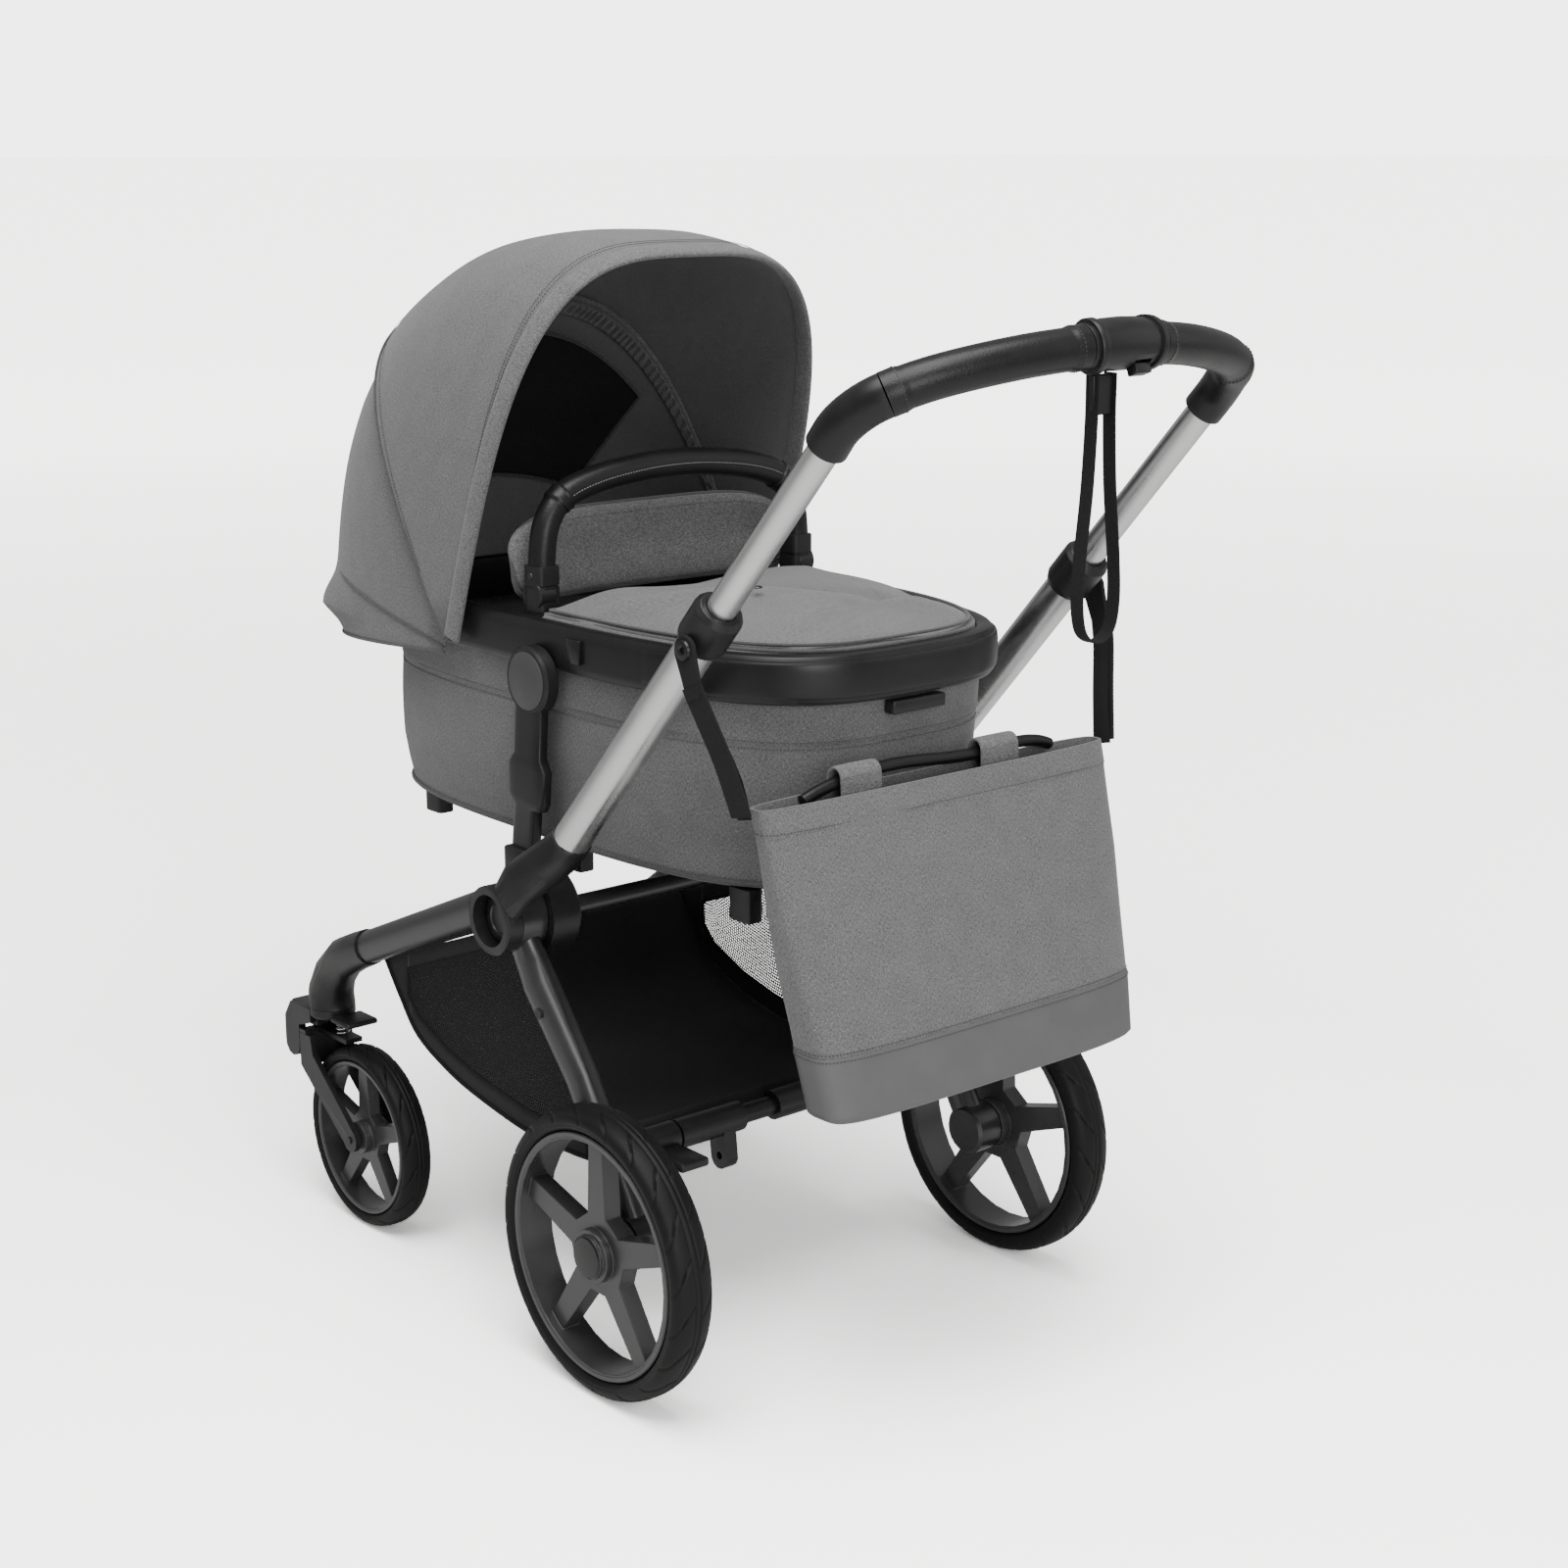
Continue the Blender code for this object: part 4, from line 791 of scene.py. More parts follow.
# handlebar
handleShape = {"elbow": 0.0198, "grip": 0.0190, "columns": 48}
bends = [pushPoint(0.7003), pushPoint(0.7250), (0.2350, 0.3245, 1.0095), (0.2225, 0.3420, 1.0212),
         (0.1920, 0.3590, 1.0330), (0.1500, 0.3745, 1.0425), (0.1000, 0.3875, 1.0500),
         (0.0445, 0.3965, 1.0548)]
across = (0, pushDirection[2], -pushDirection[1])
for word, side in sides:
    line = smoothLine(bends, 8) * np.array((side, 1, 1))
    elbowLine, gripLine = line[:25], line[24:]
    elbow = bar(f"handle_elbow_{word}_finish", elbowLine, (handleShape["elbow"],) * 2, across,
                handleShape["columns"])
    place(elbow, "handle", "plastic", [f"handle_elbow_{word}"])
    run = np.linspace(0, 1, len(gripLine))
    cuff = np.clip((0.075 - run) / 0.012, 0, 1) + np.clip((run - 0.925) / 0.012, 0, 1)
    swell = handleShape["grip"] + 0.0012 * np.clip(cuff, 0, 1)
    fine = evenly(gripLine, count=160)
    swell = np.interp(np.linspace(0, 1, 160), run, swell)
    grip = bar(f"handle_grip_{word}_finish", fine, np.stack([swell, swell], -1), across,
               handleShape["columns"])
    place(grip, "handle", "leather", [f"handle_grip_{word}"])
    rows = []
    _, along, over = frames(fine, across)
    seam = fine + along * 0.0040 - over * 0.0192 * np.sign(over[:, 2:3])
    rows.append(stitches("row", seam[14:-14], across))
    for at in (10, 150):
        hoop = fine[at] + 0.0203 * (along[at] * np.cos(np.linspace(0, 2 * math.pi, 60))[:, None]
                                    + over[at] * np.sin(np.linspace(0, 2 * math.pi, 60))[:, None])
        rows.append(stitches("row", hoop, (1, 0.3, 0.2)))
    place(joined(f"grip_stitches_{word}", rows), "handle", "thread")
for side, at in ((1, 0.0345), (-1, -0.0345)):
    profile = [(0.0190, -0.004), (0.0240, -0.004), (0.0246, -0.003), (0.0246, 0.003), (0.0240, 0.004),
               (0.0190, 0.004)]
    place(turned(f"housing_ring_{'left' if side > 0 else 'right'}", profile, (at, 0.3973, 1.0552),
                 (1, -side * 0.17, -side * 0.09), 64), "handle", "plastic")

# hanging webbing loop, under a small clip
wristStrap = {"x": 0.012, "y": 0.3905, "top": 1.031, "spread": 1.35, "half": (0.0075, 0.0009)}
spine = [(wristStrap["x"], wristStrap["y"], z) for z in (1.0300, 1.0290, 0.9960, 0.9950)]
clip = bar("strap_clip", spine,
           [(0.0125, 0.0030), (0.0140, 0.0042), (0.0120, 0.0042), (0.0105, 0.0030)], (1, 0, 0), 32, 5.0)
place(clip, "handle", "plastic")
fall = [(0.0085, 1.0310), (0.0085, 0.9900), (0.0110, 0.9300), (0.0160, 0.8700), (0.0175, 0.8300),
        (0.0130, 0.8030), (0.0, 0.7930)]
whole = fall + [(-x, z) for x, z in fall[-2::-1]]
loopLine = np.array([(wristStrap["x"] + wristStrap["spread"] * x, wristStrap["y"], z) for x, z in whole])
strap = bar("wrist_strap_finish", smoothLine(loopLine, 8), wristStrap["half"], (0, 1, 0), 16, 6.0)
place(strap, "handle", "webbing", ["wrist_strap"])
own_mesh(strap)
print("handlebar finished")

# carrycot: rail, tub, mattress
railPlan = {"halfX": 0.2050, "yLow": -0.6000, "yHigh": 0.1550, "columns": 220}
railSection = [(0.0030, 0.7070), (0.0004, 0.7105), (0.0, 0.7160), (0.0, 0.7420), (0.0008, 0.7490),
               (0.0040, 0.7538), (0.0080, 0.7550), (0.0140, 0.7550), (0.0172, 0.7530), (0.0180, 0.7490),
               (0.0180, 0.7070)]
rows = [planRing(z, railPlan["halfX"] - inset, railPlan["yLow"] + inset, railPlan["yHigh"] - inset,
                 railPlan["columns"]) for inset, z in railSection]
rail = outward(surface("carrycot_rail_finish", rows, True, True))
place(rounded(rail, 0.0004), "carrycot", "plastic", ["carrycot_rail"], 50)
# foot bumper: a thicker cap round the foot end of the rail
shape = planRing(0.7310, **railPlan)
foot = shape[12:99]
ends = np.clip(np.minimum(np.arange(87), 86 - np.arange(87)) / 6, 0.25, 1) ** 0.5
halves = np.stack([0.0180 * np.ones(87) * (0.8 + 0.2 * ends), 0.0030 * ends], -1)
bumper = bar("foot_bumper", foot, halves, (0, 0, 1), 28, 3.0)
place(bumper, "carrycot", "plastic")

# height, half width and the two ends of the tub at each ring
tubRings = [(0.512, 0.168, -0.588, 0.103), (0.513, 0.172, -0.592, 0.108), (0.516, 0.177, -0.598, 0.114),
            (0.522, 0.181, -0.603, 0.119), (0.545, 0.1845, -0.607, 0.124), (0.572, 0.187, -0.611, 0.128),
            (0.664, 0.1920, -0.605, 0.137), (0.7067, 0.1938, -0.6005, 0.1405)]
rings = np.array(tubRings)
tubColumns = 260
heights = np.concatenate([rings[:4, 0], np.linspace(0.527, 0.7067, 44)])
table = np.stack([np.interp(heights, rings[:, 0], rings[:, k]) for k in range(4)], -1)
outer = np.array([planRing(*row, tubColumns) for row in table])
seam = 0.663  # height of the sewn line round the tub
groove, ridge = np.exp(-((heights - seam) / 0.0022) ** 2), np.exp(-((heights - seam - 0.006) / 0.004) ** 2)
dip = -0.0016 * groove + 0.0010 * ridge
away = np.clip((heights - 0.53) / 0.03, 0, 1) * np.clip((0.705 - heights) / 0.02, 0, 1)
ripple = creases(outer, 0.0019, 4) * away[:, None] * (0.4 + 0.6 * (heights > seam)[:, None])
swell = 0.0022 * np.sin(math.pi * np.clip((heights - 0.53) / (seam - 0.53), 0, 1)) * (heights < seam)
outer = pushed(outer, ripple + dip[:, None] + swell[:, None], True)
inner = np.array([planRing(*row, tubColumns) for row in ((0.7067, 0.1880, -0.595, 0.135),
                                                         (0.572, 0.181, -0.605, 0.122),
                                                         (0.518, 0.172, -0.590, 0.106))])
tub = outward(surface("carrycot_tub_finish", np.concatenate([outer, inner]), True, caps=True))
place(tub, "carrycot", "fabric", ["carrycot_tub"], 60)
base = planRing(0.5200, 0.1812, -0.6032, 0.1192, tubColumns)
piping = [bar("row", base, (0.0030, 0.0030), (0, 0, 1), 12, loop=True)]
for height, inset in ((0.6605, 0.0004), (0.6675, 0.0004)):
    size = [np.interp(height, rings[:, 0], rings[:, k]) for k in (1, 2, 3)]
    row = planRing(height, size[0] + inset, size[1] - inset, size[2] + inset, 400)
    piping.append(stitches("row", row, (0, 0, 1)))
place(joined("tub_piping", piping), "carrycot", "piping")
feet = []
for x, y in ((0.1250, -0.5150), (0.1500, -0.2090), (0.1350, 0.0500)):
    for _, side in sides:
        path = [(side * x, y, z) for z in (0.4800, 0.4804, 0.4840, 0.5140)]
        feet.append(bar("foot", path, [(0.0080, 0.0140), (0.0098, 0.0158), (0.0100, 0.0160),
                                       (0.0100, 0.0160)], (1, 0, 0), 32, 6.0))
place(joined("tub_feet", feet), "carrycot", "plastic")

bedRings = np.array([(0.5190, 0.1600, -0.5800, 0.0950), (0.5230, 0.1670, -0.5860, 0.1010),
                     (0.5300, 0.1700, -0.5890, 0.1040), (0.5520, 0.1700, -0.5890, 0.1040),
                     (0.5590, 0.1670, -0.5860, 0.1010), (0.5620, 0.1600, -0.5790, 0.0940),
                     (0.5622, 0.1200, -0.5300, 0.0450), (0.5622, 0.0500, -0.4000, -0.0850)])
bed = outward(surface("mattress_finish", [planRing(*row, 120) for row in bedRings], True, caps=True))
place(bed, "carrycot", "mattress", ["mattress"], 60)

# apron over the foot half
apronShape = {"levels": 34, "folds": 0.0062, "edgeY": -0.2140, "middle": (0.0, -0.045, 0.0),
              "bottom": 0.7470, "rest": 0.7535, "rise": 0.040}
shares = np.linspace(0, 1, apronShape["levels"])
cover = []
outline = planRing(0, 0.1865, -0.5815, 0.1365, 240)
outline[:, 1] = np.maximum(outline[:, 1], apronShape["edgeY"])
middle = np.array(apronShape["middle"])
for share in shares:
    reach = 1 - share**1.15
    row = middle + (outline - middle) * reach
    high = 0.55 + 0.45 * np.clip((0.10 - row[:, 1]) / 0.28, 0, 1)
    row[:, 2] = apronShape["rest"] + apronShape["rise"] * high * (1 - reach**2.6) ** 0.72
    cover.append(row)
cover = np.array(cover)
bumps = creases(cover, apronShape["folds"], 11, 0.62) * np.clip(shares * 7, 0, 1)[:, None]
radial = np.sin(cover[..., 0] * 52 + 2.0 * np.sin(cover[..., 1] * 21)) * 0.0012
slant = cover[..., 1] * 0.82 + cover[..., 0] * 0.57
hollow, swelling = np.exp(-((slant + 0.045) / 0.016) ** 2), np.exp(-((slant + 0.010) / 0.020) ** 2)
furrow = -0.0075 * hollow + 0.0055 * swelling
furrow -= 0.0060 * np.exp(-((cover[..., 1] * 0.9 - cover[..., 0] * 0.44 - 0.045) / 0.014) ** 2)
nearMiddle = np.clip((1 - shares) * 3, 0, 1)[:, None]
cover[..., 2] += furrow * np.clip(shares * 4, 0, 1)[:, None] + bumps
cover[..., 2] += radial * np.clip(shares * 5, 0, 1)[:, None] * nearMiddle
lower = np.array([middle + (outline - middle) * k + (0, 0, apronShape["bottom"])
                  for k in (1.0, 0.5, 0.04)])
apron = outward(surface("apron_finish", np.concatenate([lower[::-1], cover[:-1]]), True, caps=True))
place(apron, "carrycot", "fabric", ["apron"], 60)
edge = outline * np.array((0.975, 1, 1)) + np.array((0, 0, 0.7560))
trim = [bar("row", edge, (0.0022, 0.0022), (0, 0, 1), 10, loop=True)]
trim.append(bar("row", middle + (outline - middle) * 0.965 + np.array((0, 0, 0.7612)), (0.0018, 0.0018),
                (0, 0, 1), 10, loop=True))
place(joined("apron_piping", trim), "carrycot", "piping")
teeth = edge[(edge[:, 0] > 0.05) & (edge[:, 1] < 0.10)] * np.array((0.975, 1, 1))
teeth = teeth + np.array((0, 0, 0.0045))
teeth = teeth[np.argsort(teeth[:, 1])]
place(stitches("apron_zip", teeth, (0, 0, 1), 0.0026, 0.0016, 0.0013), "carrycot", "zip")
slider = [teeth[2] + np.array((0, dy, dz))
          for dy, dz in ((0, 0.001), (0.004, 0.003), (0.010, 0.0035), (0.022, 0.002))]
place(bar("zip_slider", slider, [(0.0040, 0.0022), (0.0042, 0.0024), (0.0022, 0.0010), (0.0026, 0.0010)],
          (1, 0, 0), 20, 4.0), "carrycot", "steel")
profile = [(0.0022, -0.0004), (0.0048, -0.0004), (0.0052, 0.0004), (0.0044, 0.0012), (0.0026, 0.0010)]
place(turned("apron_eyelet", profile, (0.060, -0.020, 0.7955), (0, 0, 1), 48), "carrycot", "zip")

# wind flap
flap = {"half": 0.186, "thick": 0.0105, "tall": 0.0440, "columns": 120}
x = np.linspace(-flap["half"], flap["half"], flap["columns"])
bend = 0.014 * np.abs(x / flap["half"]) ** 4
path = np.stack([x, -0.2790 + bend, 0.8080 - 0.010 * np.abs(x / flap["half"]) ** 4], -1)
ends = (1 - np.abs(x / flap["half"]) ** 7) ** 0.5
halves = np.stack([flap["tall"] * (0.30 + 0.70 * ends), flap["thick"] * (0.25 + 0.75 * ends)
                   * (1 + 0.10 * np.sin(x * 95))], -1)
pad = bar("wind_flap_finish", path, halves, (0, -0.12, 1), 48, 2.8)
place(pad, "carrycot", "fabricObject", ["wind_flap"], 60)
rise = flap["tall"] * (0.30 + 0.70 * ends)
hem = np.concatenate([path + np.stack([0 * x, -0.12 * rise, rise], -1),
                      (path - np.stack([0 * x, -0.12 * rise, rise], -1))[::-1]])
trim = [bar("row", hem, (0.0026, 0.0026), (0, 1, 0.2), 10, loop=True)]
sewn = path + np.stack([0 * x, flap["thick"] * 0.80 + 0 * x, rise * 0.80], -1)
trim.append(stitches("row", sewn[6:-6], (0, 0, 1)))
place(joined("flap_piping", trim), "carrycot", "piping")
print("carrycot finished")

# canopy: the lean and radius of a bow at each station, front section and rear section
canopy = {"front": ((71, 0.4440), (84, 0.4400), (97, 0.4320), (110, 0.4220), (123, 0.4120)),
          "frontX": 0.2170,
          "rear": ((117.0, 0.4075), (136, 0.3980), (148, 0.3860), (160, 0.3720), (172, 0.3600),
                   (184, 0.3540)),
          "rearX": 0.2085, "columns": 140}


def hood(stations, halfX, seed, fold, skirt=0.0):
    # arches at evenly spaced leans between the stations, with soft folds and a skirt that swells at the foot
    stations = np.array(stations)
    angles = np.linspace(stations[0, 0], stations[-1, 0], 12 * (len(stations) - 1) + 1)
    radii = np.interp(angles, stations[:, 0], stations[:, 1])
    grid = np.array([archRing(a, r, halfX, canopy["columns"]) for a, r in zip(angles, radii)])
    share = (angles - angles[0]) / (angles[-1] - angles[0])
    inside = np.clip(share * 10, 0, 1) * np.clip((1 - share) * 10, 0, 1)
    dip = creases(grid, fold, seed, 0.7) + skirt * np.exp(-((angles - 177.5) / 5.5) ** 2)[:, None]
    turn = np.linspace(0, 1, canopy["columns"] + 1)
    clear = np.clip((np.minimum(turn, 1 - turn) - 0.10) * 7, 0, 1)
    out = normalsOf(grid)
    if out[len(out) // 2, len(out[0]) // 2, 2] < 0:
        out = -out
    return grid + out * (dip * inside[:, None] * clear[None])[..., None], out


def rearRadius(angle):
    # radius of the rear section at one lean
    return np.interp(angle, *np.array(canopy["rear"]).T)


frontGrid, frontOut = hood(canopy["front"], canopy["frontX"], 3, 0.0022)
shell = facing(surface("canopy_front_finish", frontGrid), (0, 0, 1))
place(shell, "canopy_front", "fabric", ["canopy_front"], 60)
withWall(shell, 0.0022)
rearGrid, rearOut = hood(canopy["rear"], canopy["rearX"], 8, 0.0026, 0.020)
shell = facing(surface("canopy_rear_finish", rearGrid), (0, -0.6, 1))
place(shell, "carrycot", "fabric", ["canopy_rear"], 60)
withWall(shell, 0.0022)

# front rim: a padded band with two rows of stitching behind it
rimLine = archRing(71, 0.4425, 0.2160, 160)
band = bar("canopy_rim", rimLine, (0.0125, 0.0042),
           (0, math.cos(math.radians(-19)), math.sin(math.radians(-19))), 32, 2.6)
place(band, "canopy_front", "fabricObject")
rows = []
for angle, radius in ((73.6, 0.4440), (74.4, 0.4438), (120.5, 0.4150)):
    rows.append(stitches("row", archRing(angle, radius + 0.0012, 0.2178, 300)[6:-6], (0, 0.3, 1)))
place(joined("canopy_stitches", rows), "canopy_front", "thread")
rows = [bar("row", archRing(123, 0.4135, 0.2174, 160), (0.0014, 0.0014), (0, 1, 0.4), 10)]
place(joined("canopy_front_piping", rows), "canopy_front", "piping")
rows = [bar("row", archRing(a, r, 0.2088, 160), (0.0016, 0.0016), (0, 1, 0.4), 10)
        for a, r in ((184, 0.3545), (169, 0.3650))]
place(joined("canopy_rear_piping", rows), "carrycot", "piping")

# lining inside both sections
for name, grid, out, body in (("canopy_front_lining", frontGrid, frontOut, "canopy_front"),
                              ("canopy_rear_lining", rearGrid, rearOut, "carrycot")):
    lining = facing(surface(name, (grid - out * 0.0028)[1:-1]), (0, 0.6, -1))
    place(lining, body, "lining", angle=60)
    withWall(lining, 0.0006)
# ruffled strip where the front section folds
angles = np.linspace(117.5, 121.5, 10)
columns = 900
grid = np.array([archRing(a, 0.3990, 0.2030, columns, 0.03, 0.97) for a in angles])
run = np.linspace(0, 1, columns + 1)
fade = np.sin(np.linspace(0, math.pi, 10))[:, None]
gather = 0.0024 * np.sin(run * 2 * math.pi * 74 + 1.4 * np.sin(run * 60)) * fade
grid = pushed(grid, gather)
ruffle = facing(surface("canopy_ruffle", grid), (0, 0.6, -1))
place(ruffle, "carrycot", "lining", angle=60)
withWall(ruffle, 0.0008)
# black window at the back, inside
angles = np.linspace(127, 158, 30)
grid = np.array([archRing(a, rearRadius(a) - 0.0075, 0.2030, 90, 0.20 + 0.07 * ((a - 127) / 31) ** 2,
                          0.80 - 0.07 * ((a - 127) / 31) ** 2) for a in angles])
window = facing(surface("canopy_window", grid), (0, 0.6, -1))
place(window, "carrycot", "window", angle=60)
withWall(window, 0.0008)
border = np.concatenate([grid[0], grid[1:-1, -1], grid[-1, ::-1], grid[-2:0:-1, 0]])
place(bar("window_binding", evenly(border, count=240), (0.0022, 0.0022), (0.3, 0.5, 0.8), 10), "carrycot",
      "piping")
print("canopy finished")

# carrying handle
carryX, carryY = 0.1725, -0.232  # place of its two legs
half = [(carryX, 0.7740), (carryX, 0.8050), (0.1690, 0.8350), (0.1610, 0.8550), (0.1480, 0.8700),
        (0.1280, 0.8800), (0.0900, 0.8890), (0.0400, 0.8950)]
arch = [(x, carryY, z) for x, z in [*half, (0, 0.8965), *((-x, z) for x, z in half[::-1])]]
line = evenly(smoothLine(arch, 8), count=300)
run = np.linspace(-1, 1, 300)
swell = 0.0142 + 0.0016 * (np.abs(np.abs(run) - 0.60) < 0.022) + 0.0008 * (np.abs(run) < 0.58)
sleeve = bar("carry_handle_finish", line, np.stack([swell, swell], -1), (0, 1, 0), 32)
place(sleeve, "carry_handle", "leather", ["carry_handle"])
_, along, over = frames(line, (0, 1, 0))
seam = line[66:-66] + along[66:-66] * 0.0150
place(stitches("carry_handle_stitches", seam, (1, 0, 0)), "carry_handle", "paleThread")
for word, side in sides:
    profile = [(0, -0.0105), (0.0158, -0.0105), (0.0170, -0.0090), (0.0170, 0.0090), (0.0158, 0.0105),
               (0, 0.0105)]
    leg = [(side * carryX, carryY, z)
           for z in (0.7570, 0.7576, 0.7820, 0.7824, 0.7846, 0.7850, 0.8040, 0.8046)]
    halves = [(0.0150, 0.0140), (0.0158, 0.0148), (0.0158, 0.0148), (0.0146, 0.0136), (0.0146, 0.0136),
              (0.0158, 0.0148), (0.0158, 0.0148), (0.0150, 0.0140)]
    place(bar(f"handle_leg_{word}", leg, halves, (0, 1, 0), 40, 4.0), "carry_handle", "plastic")
    place(turned(f"handle_screw_{word}", [(0, 0.0142), (0.0036, 0.0142), (0.0040, 0.0150),
                                          (0.0036, 0.0158), (0, 0.0158)], (side * carryX, carryY, 0.794),
                 (side, 0, 0), 32, False), "carry_handle", "zip")
    place(turned(f"handle_knuckle_{word}", profile, (side * 0.1760, carryY, 0.774), (side, 0, 0), 64,
                 False), "carry_handle", "plastic", angle=30)

# tote bag
# height, middle, half length and half depth of the bag at each ring
toteRings = np.array([(0.3400, 0.2400, 0.1900, 0.0240), (0.3418, 0.2400, 0.2000, 0.0320),
                      (0.3460, 0.2400, 0.2055, 0.0362), (0.4050, 0.2270, 0.2114, 0.0374),
                      (0.5300, 0.1990, 0.2234, 0.0284), (0.6330, 0.1760, 0.2292, 0.0172)])


def toteRow(z, grow=0.0, columns=300):
    # the bag's outline at one height: a superellipse with its size read between the rings
    y, a, b = (np.interp(z, toteRings[:, 0], toteRings[:, k]) for k in (1, 2, 3))
    shape = ring(columns, 4.0)
    return np.stack([(a + grow) * shape[:, 0], y + (b + grow) * shape[:, 1], np.full(columns, z)], -1)


heights = np.concatenate([[0.3400, 0.3418, 0.3440], np.linspace(0.3465, 0.6330, 80)])
outer = np.array([toteRow(z) for z in heights])
away = np.clip((heights - 0.41) / 0.05, 0, 1) * np.clip((0.632 - heights) / 0.02, 0, 1)
hem = 0.0007 * (heights > 0.611)
outer = pushed(outer, creases(outer, 0.0034, 21, 0.55) * away[:, None] + hem[:, None], True)
inner = np.array([toteRow(z, -0.0024) for z in (0.6330, 0.5300, 0.4050, 0.3450)])
bag = outward(surface("tote_bag_finish", np.concatenate([outer, inner]), True, caps=True))
place(bag, "tote", "fabric", ["tote_bag"], 60)
heights = np.concatenate([[0.3395, 0.3413, 0.3440], np.linspace(0.3465, 0.4050, 16)])
band = np.concatenate([[toteRow(z, 0.0012) for z in heights],
                       [toteRow(0.4050, 0.0), toteRow(0.3450, -0.001)]])
place(outward(surface("tote_base_band", band, True, caps=True)), "tote", "band", angle=60)
rows = [stitches("row", toteRow(z, grow, 600), (0, 0, 1))
        for z, grow in ((0.6105, 0.0012), (0.4020, 0.0016), (0.4085, 0.0006))]
place(joined("tote_stitches", rows), "tote", "thread")
toteGrip = {"half": 0.165, "y": 0.1700, "z": 0.6440}
handles, tabs = [], []
x = np.linspace(-toteGrip["half"], toteGrip["half"], 90)
handles.append(bar("row", np.stack([x, toteGrip["y"] + 0 * x,
                                    toteGrip["z"] - 0.012 * (x / toteGrip["half"]) ** 6
                                    + 0.003 * np.sin(x * 30)], -1), (0.0062, 0.0062), (0, 0, 1), 20))
for middle in (0.100, -0.085):
    over = [(middle, toteGrip["y"] + 0.0095 * math.cos(t), toteGrip["z"] + 0.0110 * math.sin(t))
            for t in np.linspace(0, math.pi, 16)]
    tab = [(middle, 0.1830, 0.590), (middle, 0.1810, 0.620), *over, (middle, 0.1600, 0.620),
           (middle, 0.1620, 0.600)]
    tabs.append(bar("row", smoothLine(tab, 3), (0.0260, 0.0017), (1, 0, 0), 20, 5.0))
place(joined("tote_handles", handles), "tote", "leather")
place(joined("tote_tabs", tabs), "tote", "fabricObject")
for word, side in sides:
    refined(f"tote_strap_{word}", "webbing", 0.0004)
    ribbon = [(side * 0.2716, 0.1400, 0.7480), (side * 0.2650, 0.1500, 0.7200),
              (side * 0.2530, 0.1620, 0.6780), (side * 0.2425, 0.1745, 0.6280)]
    place(bar(f"tote_ribbon_{word}", smoothLine(ribbon, 8), (0.0018, 0.0140), (1, 0, 0), 20, 6.0),
          "tote_straps", "webbing")
    profile = [(0.0030, -0.002), (0.0092, -0.002), (0.0100, 0.0006), (0.0092, 0.0026), (0.0050, 0.0030),
               (0.0030, 0.0016)]
    place(turned(f"clip_ring_{word}", profile, (side * 0.2722, 0.1290, 0.7800), (side, 0, 0), 48),
          "tote_straps", "gloss", angle=30)
print("tote finished")

# basket
basket = {
    "half": 0.2135, "hem": 0.022, "window": (-0.455, -0.115),
    "floor": ((-0.5000, 0.3240), (-0.4700, 0.2850), (-0.4360, 0.2480), (-0.3770, 0.2230), (-0.3190, 0.2090),
              (-0.2260, 0.1960), (-0.1500, 0.1960), (-0.0950, 0.2010), (-0.0740, 0.2080)),
    "top": ((-0.5000, 0.3245), (-0.2450, 0.4220), (-0.2000, 0.3880), (-0.1620, 0.3700), (-0.0800, 0.2400),
            (-0.0740, 0.2330))}  # height of each edge at each y


def edgeLine(y, inset=0.0):
    # lower and upper edge of the side panel at each y, drawn in by the inset but never past each other
    low = np.interp(y, *np.array(basket["floor"]).T)
    high = np.maximum(np.interp(y, *np.array(basket["top"]).T), low + 0.001)
    middle = (low + high) / 2
    return np.minimum(low + inset, middle), np.maximum(high - inset, middle)


def strip(x, yLow, yHigh, low, high, columns=60, rows=14):
    # a flat grid between two heights that vary along y; low and high each hold an inset and which edge it
    # is measured from, 0 for the lower and 1 for the upper
    y = np.linspace(yLow, yHigh, columns)
    bottom, top = (edgeLine(y, inset)[which] for inset, which in (low, high))
    t = np.linspace(0, 1, rows)[:, None]
    return np.stack([np.full((rows, columns), x), np.repeat(y[None], rows, 0),
                     bottom + (top - bottom) * t], -1)


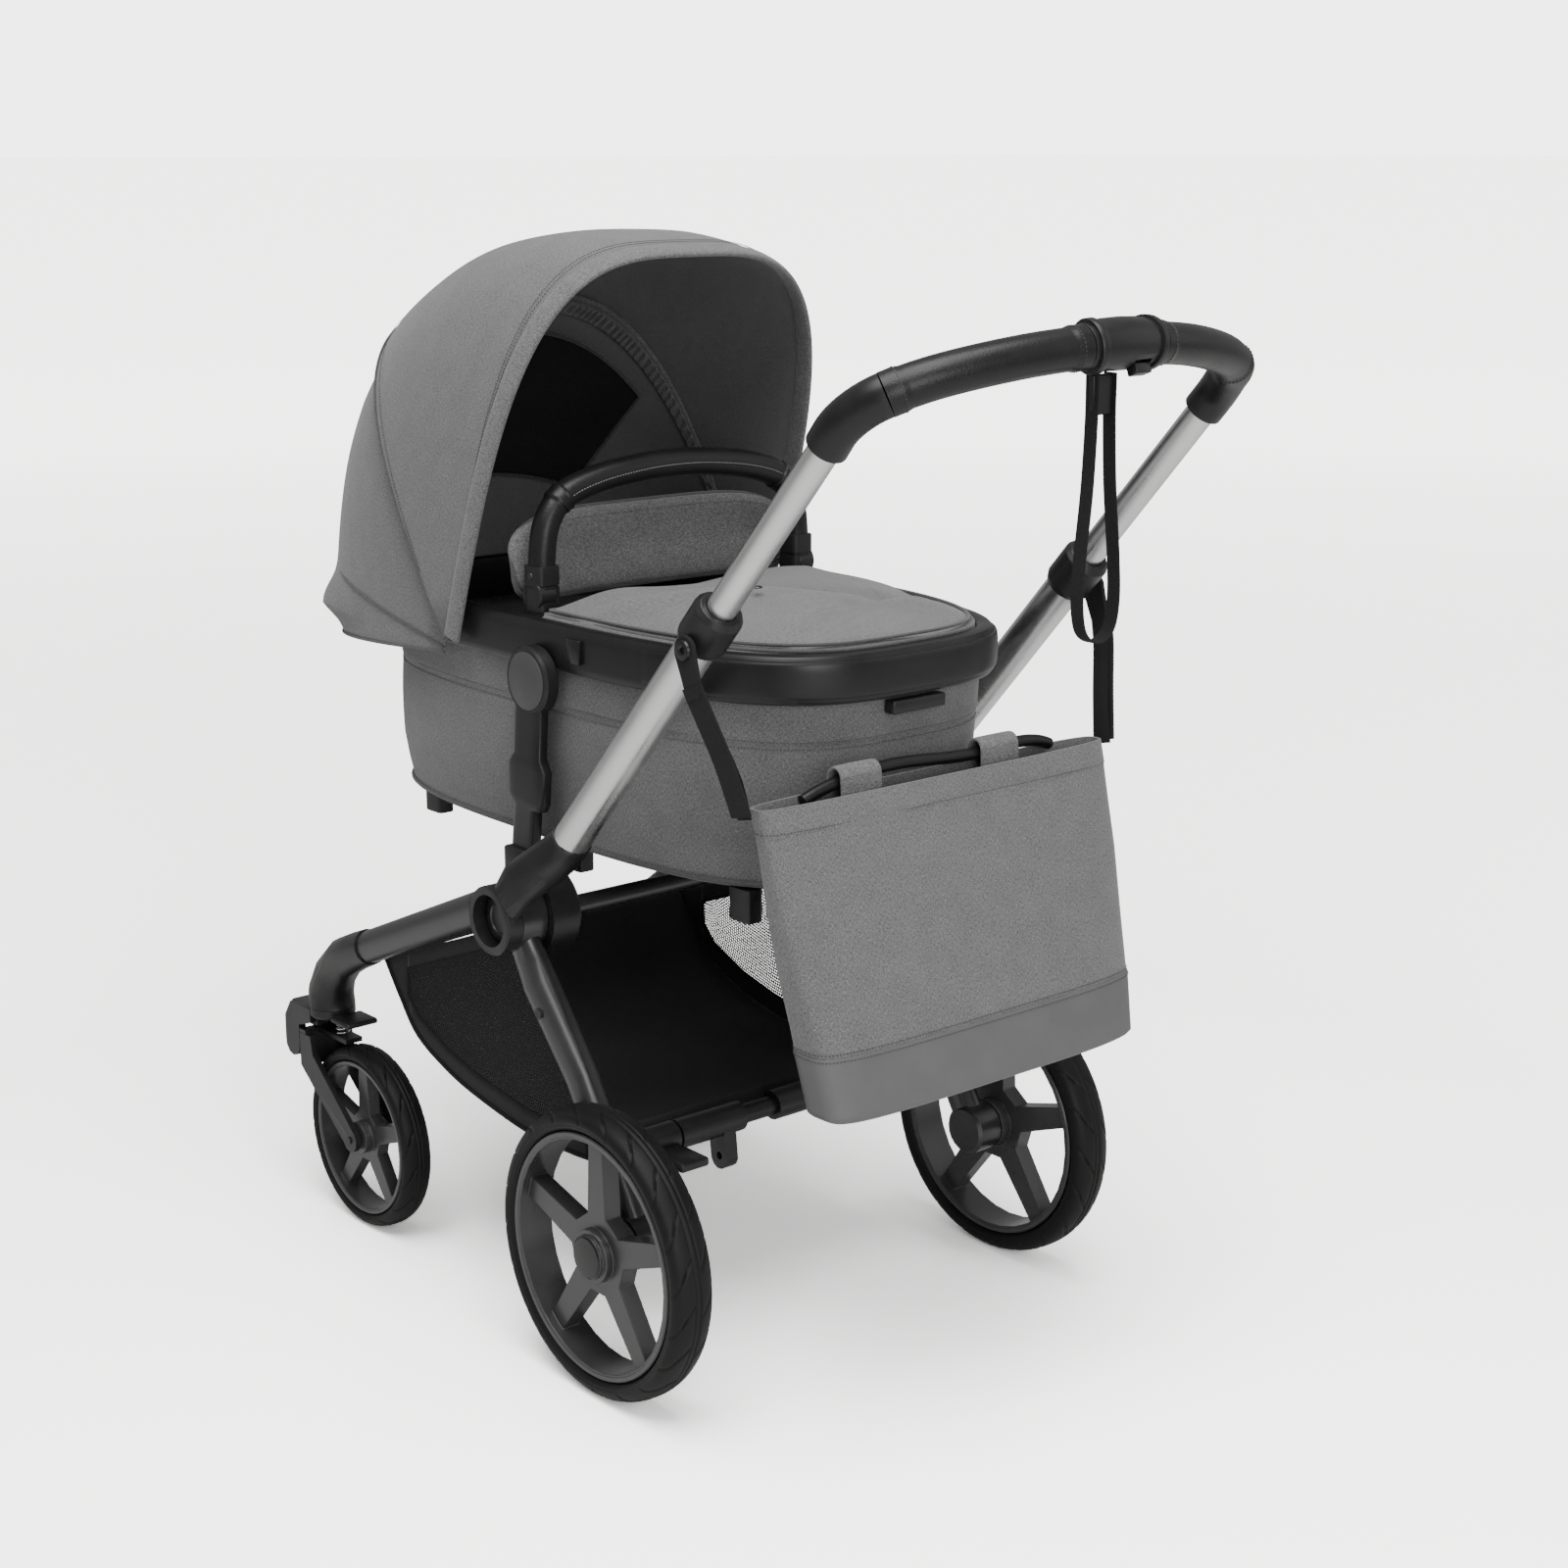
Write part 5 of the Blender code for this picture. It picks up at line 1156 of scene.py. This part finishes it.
floorLine = smoothLine([(0, y, z) for y, z in basket["floor"]], 6)
across = np.linspace(-basket["half"], basket["half"], 60)
grid = floorLine[:, None] + across[None, :, None] * np.array((1, 0, 0))
grid[..., 2] += creases(grid, 0.0016, 31) + 0.0016
floorPiece = facing(surface("basket_finish", grid), (0, 0, 1))
place(floorPiece, "chassis", "black", ["basket"], 60)
withWall(floorPiece, 0.0016)
lip = np.array([[(x, y, z) for x in across]
                for y, z in ((-0.0742, 0.2080), (-0.0735, 0.2200), (-0.0745, 0.2330), (-0.0790, 0.2400))])
lipPiece = facing(surface("basket_lip", lip), (0, 1, 0))
place(withWall(lipPiece, 0.0030), "chassis", "black")
for word, side in sides:
    x, hem = side * basket["half"], basket["hem"]
    yFront, yBack = basket["window"]
    net = facing(surface(f"basket_net_{word}", strip(x, yFront, yBack, (hem, 0), (hem, 1))), (side, 0, 0))
    place(net, "chassis", "blackNet")
    cloth = [surface("row", strip(x, *span, low, high)) for span, low, high in
             (((-0.5000, yFront), (0, 0), (0, 1)), ((yBack, -0.0740), (0, 0), (0, 1)),
              ((yFront, yBack), (0, 0), (hem, 0)), ((yFront, yBack), (hem, 1), (0, 1)))]
    place(withWall(facing(joined(f"basket_side_{word}", cloth), (side, 0, 0)), 0.0022), "chassis",
          "black", angle=60)
    y = np.linspace(yFront, yBack, 120)
    low, high = edgeLine(y, hem)
    binding = np.concatenate([np.stack([0 * y + x, y, low], -1),
                              np.stack([0 * y + x, y, high], -1)[::-1]])
    place(bar(f"basket_binding_{word}", evenly(np.concatenate([binding, binding[:1]]), count=260)[:-1],
              (0.0018, 0.0032), (1, 0, 0), 12, loop=True), "chassis", "webbing")
    edge = smoothLine([(side * (basket["half"] + 0.0005), y, z) for y, z in basket["top"]], 6)
    under = smoothLine([(side * (basket["half"] + 0.0005), y, z) for y, z in basket["floor"]], 6)
    place(joined(f"basket_piping_{word}", [bar("row", line, (0.0026, 0.0026), (1, 0, 0), 10)
                                           for line in (edge, under)]), "chassis", "webbing")
print("basket finished")
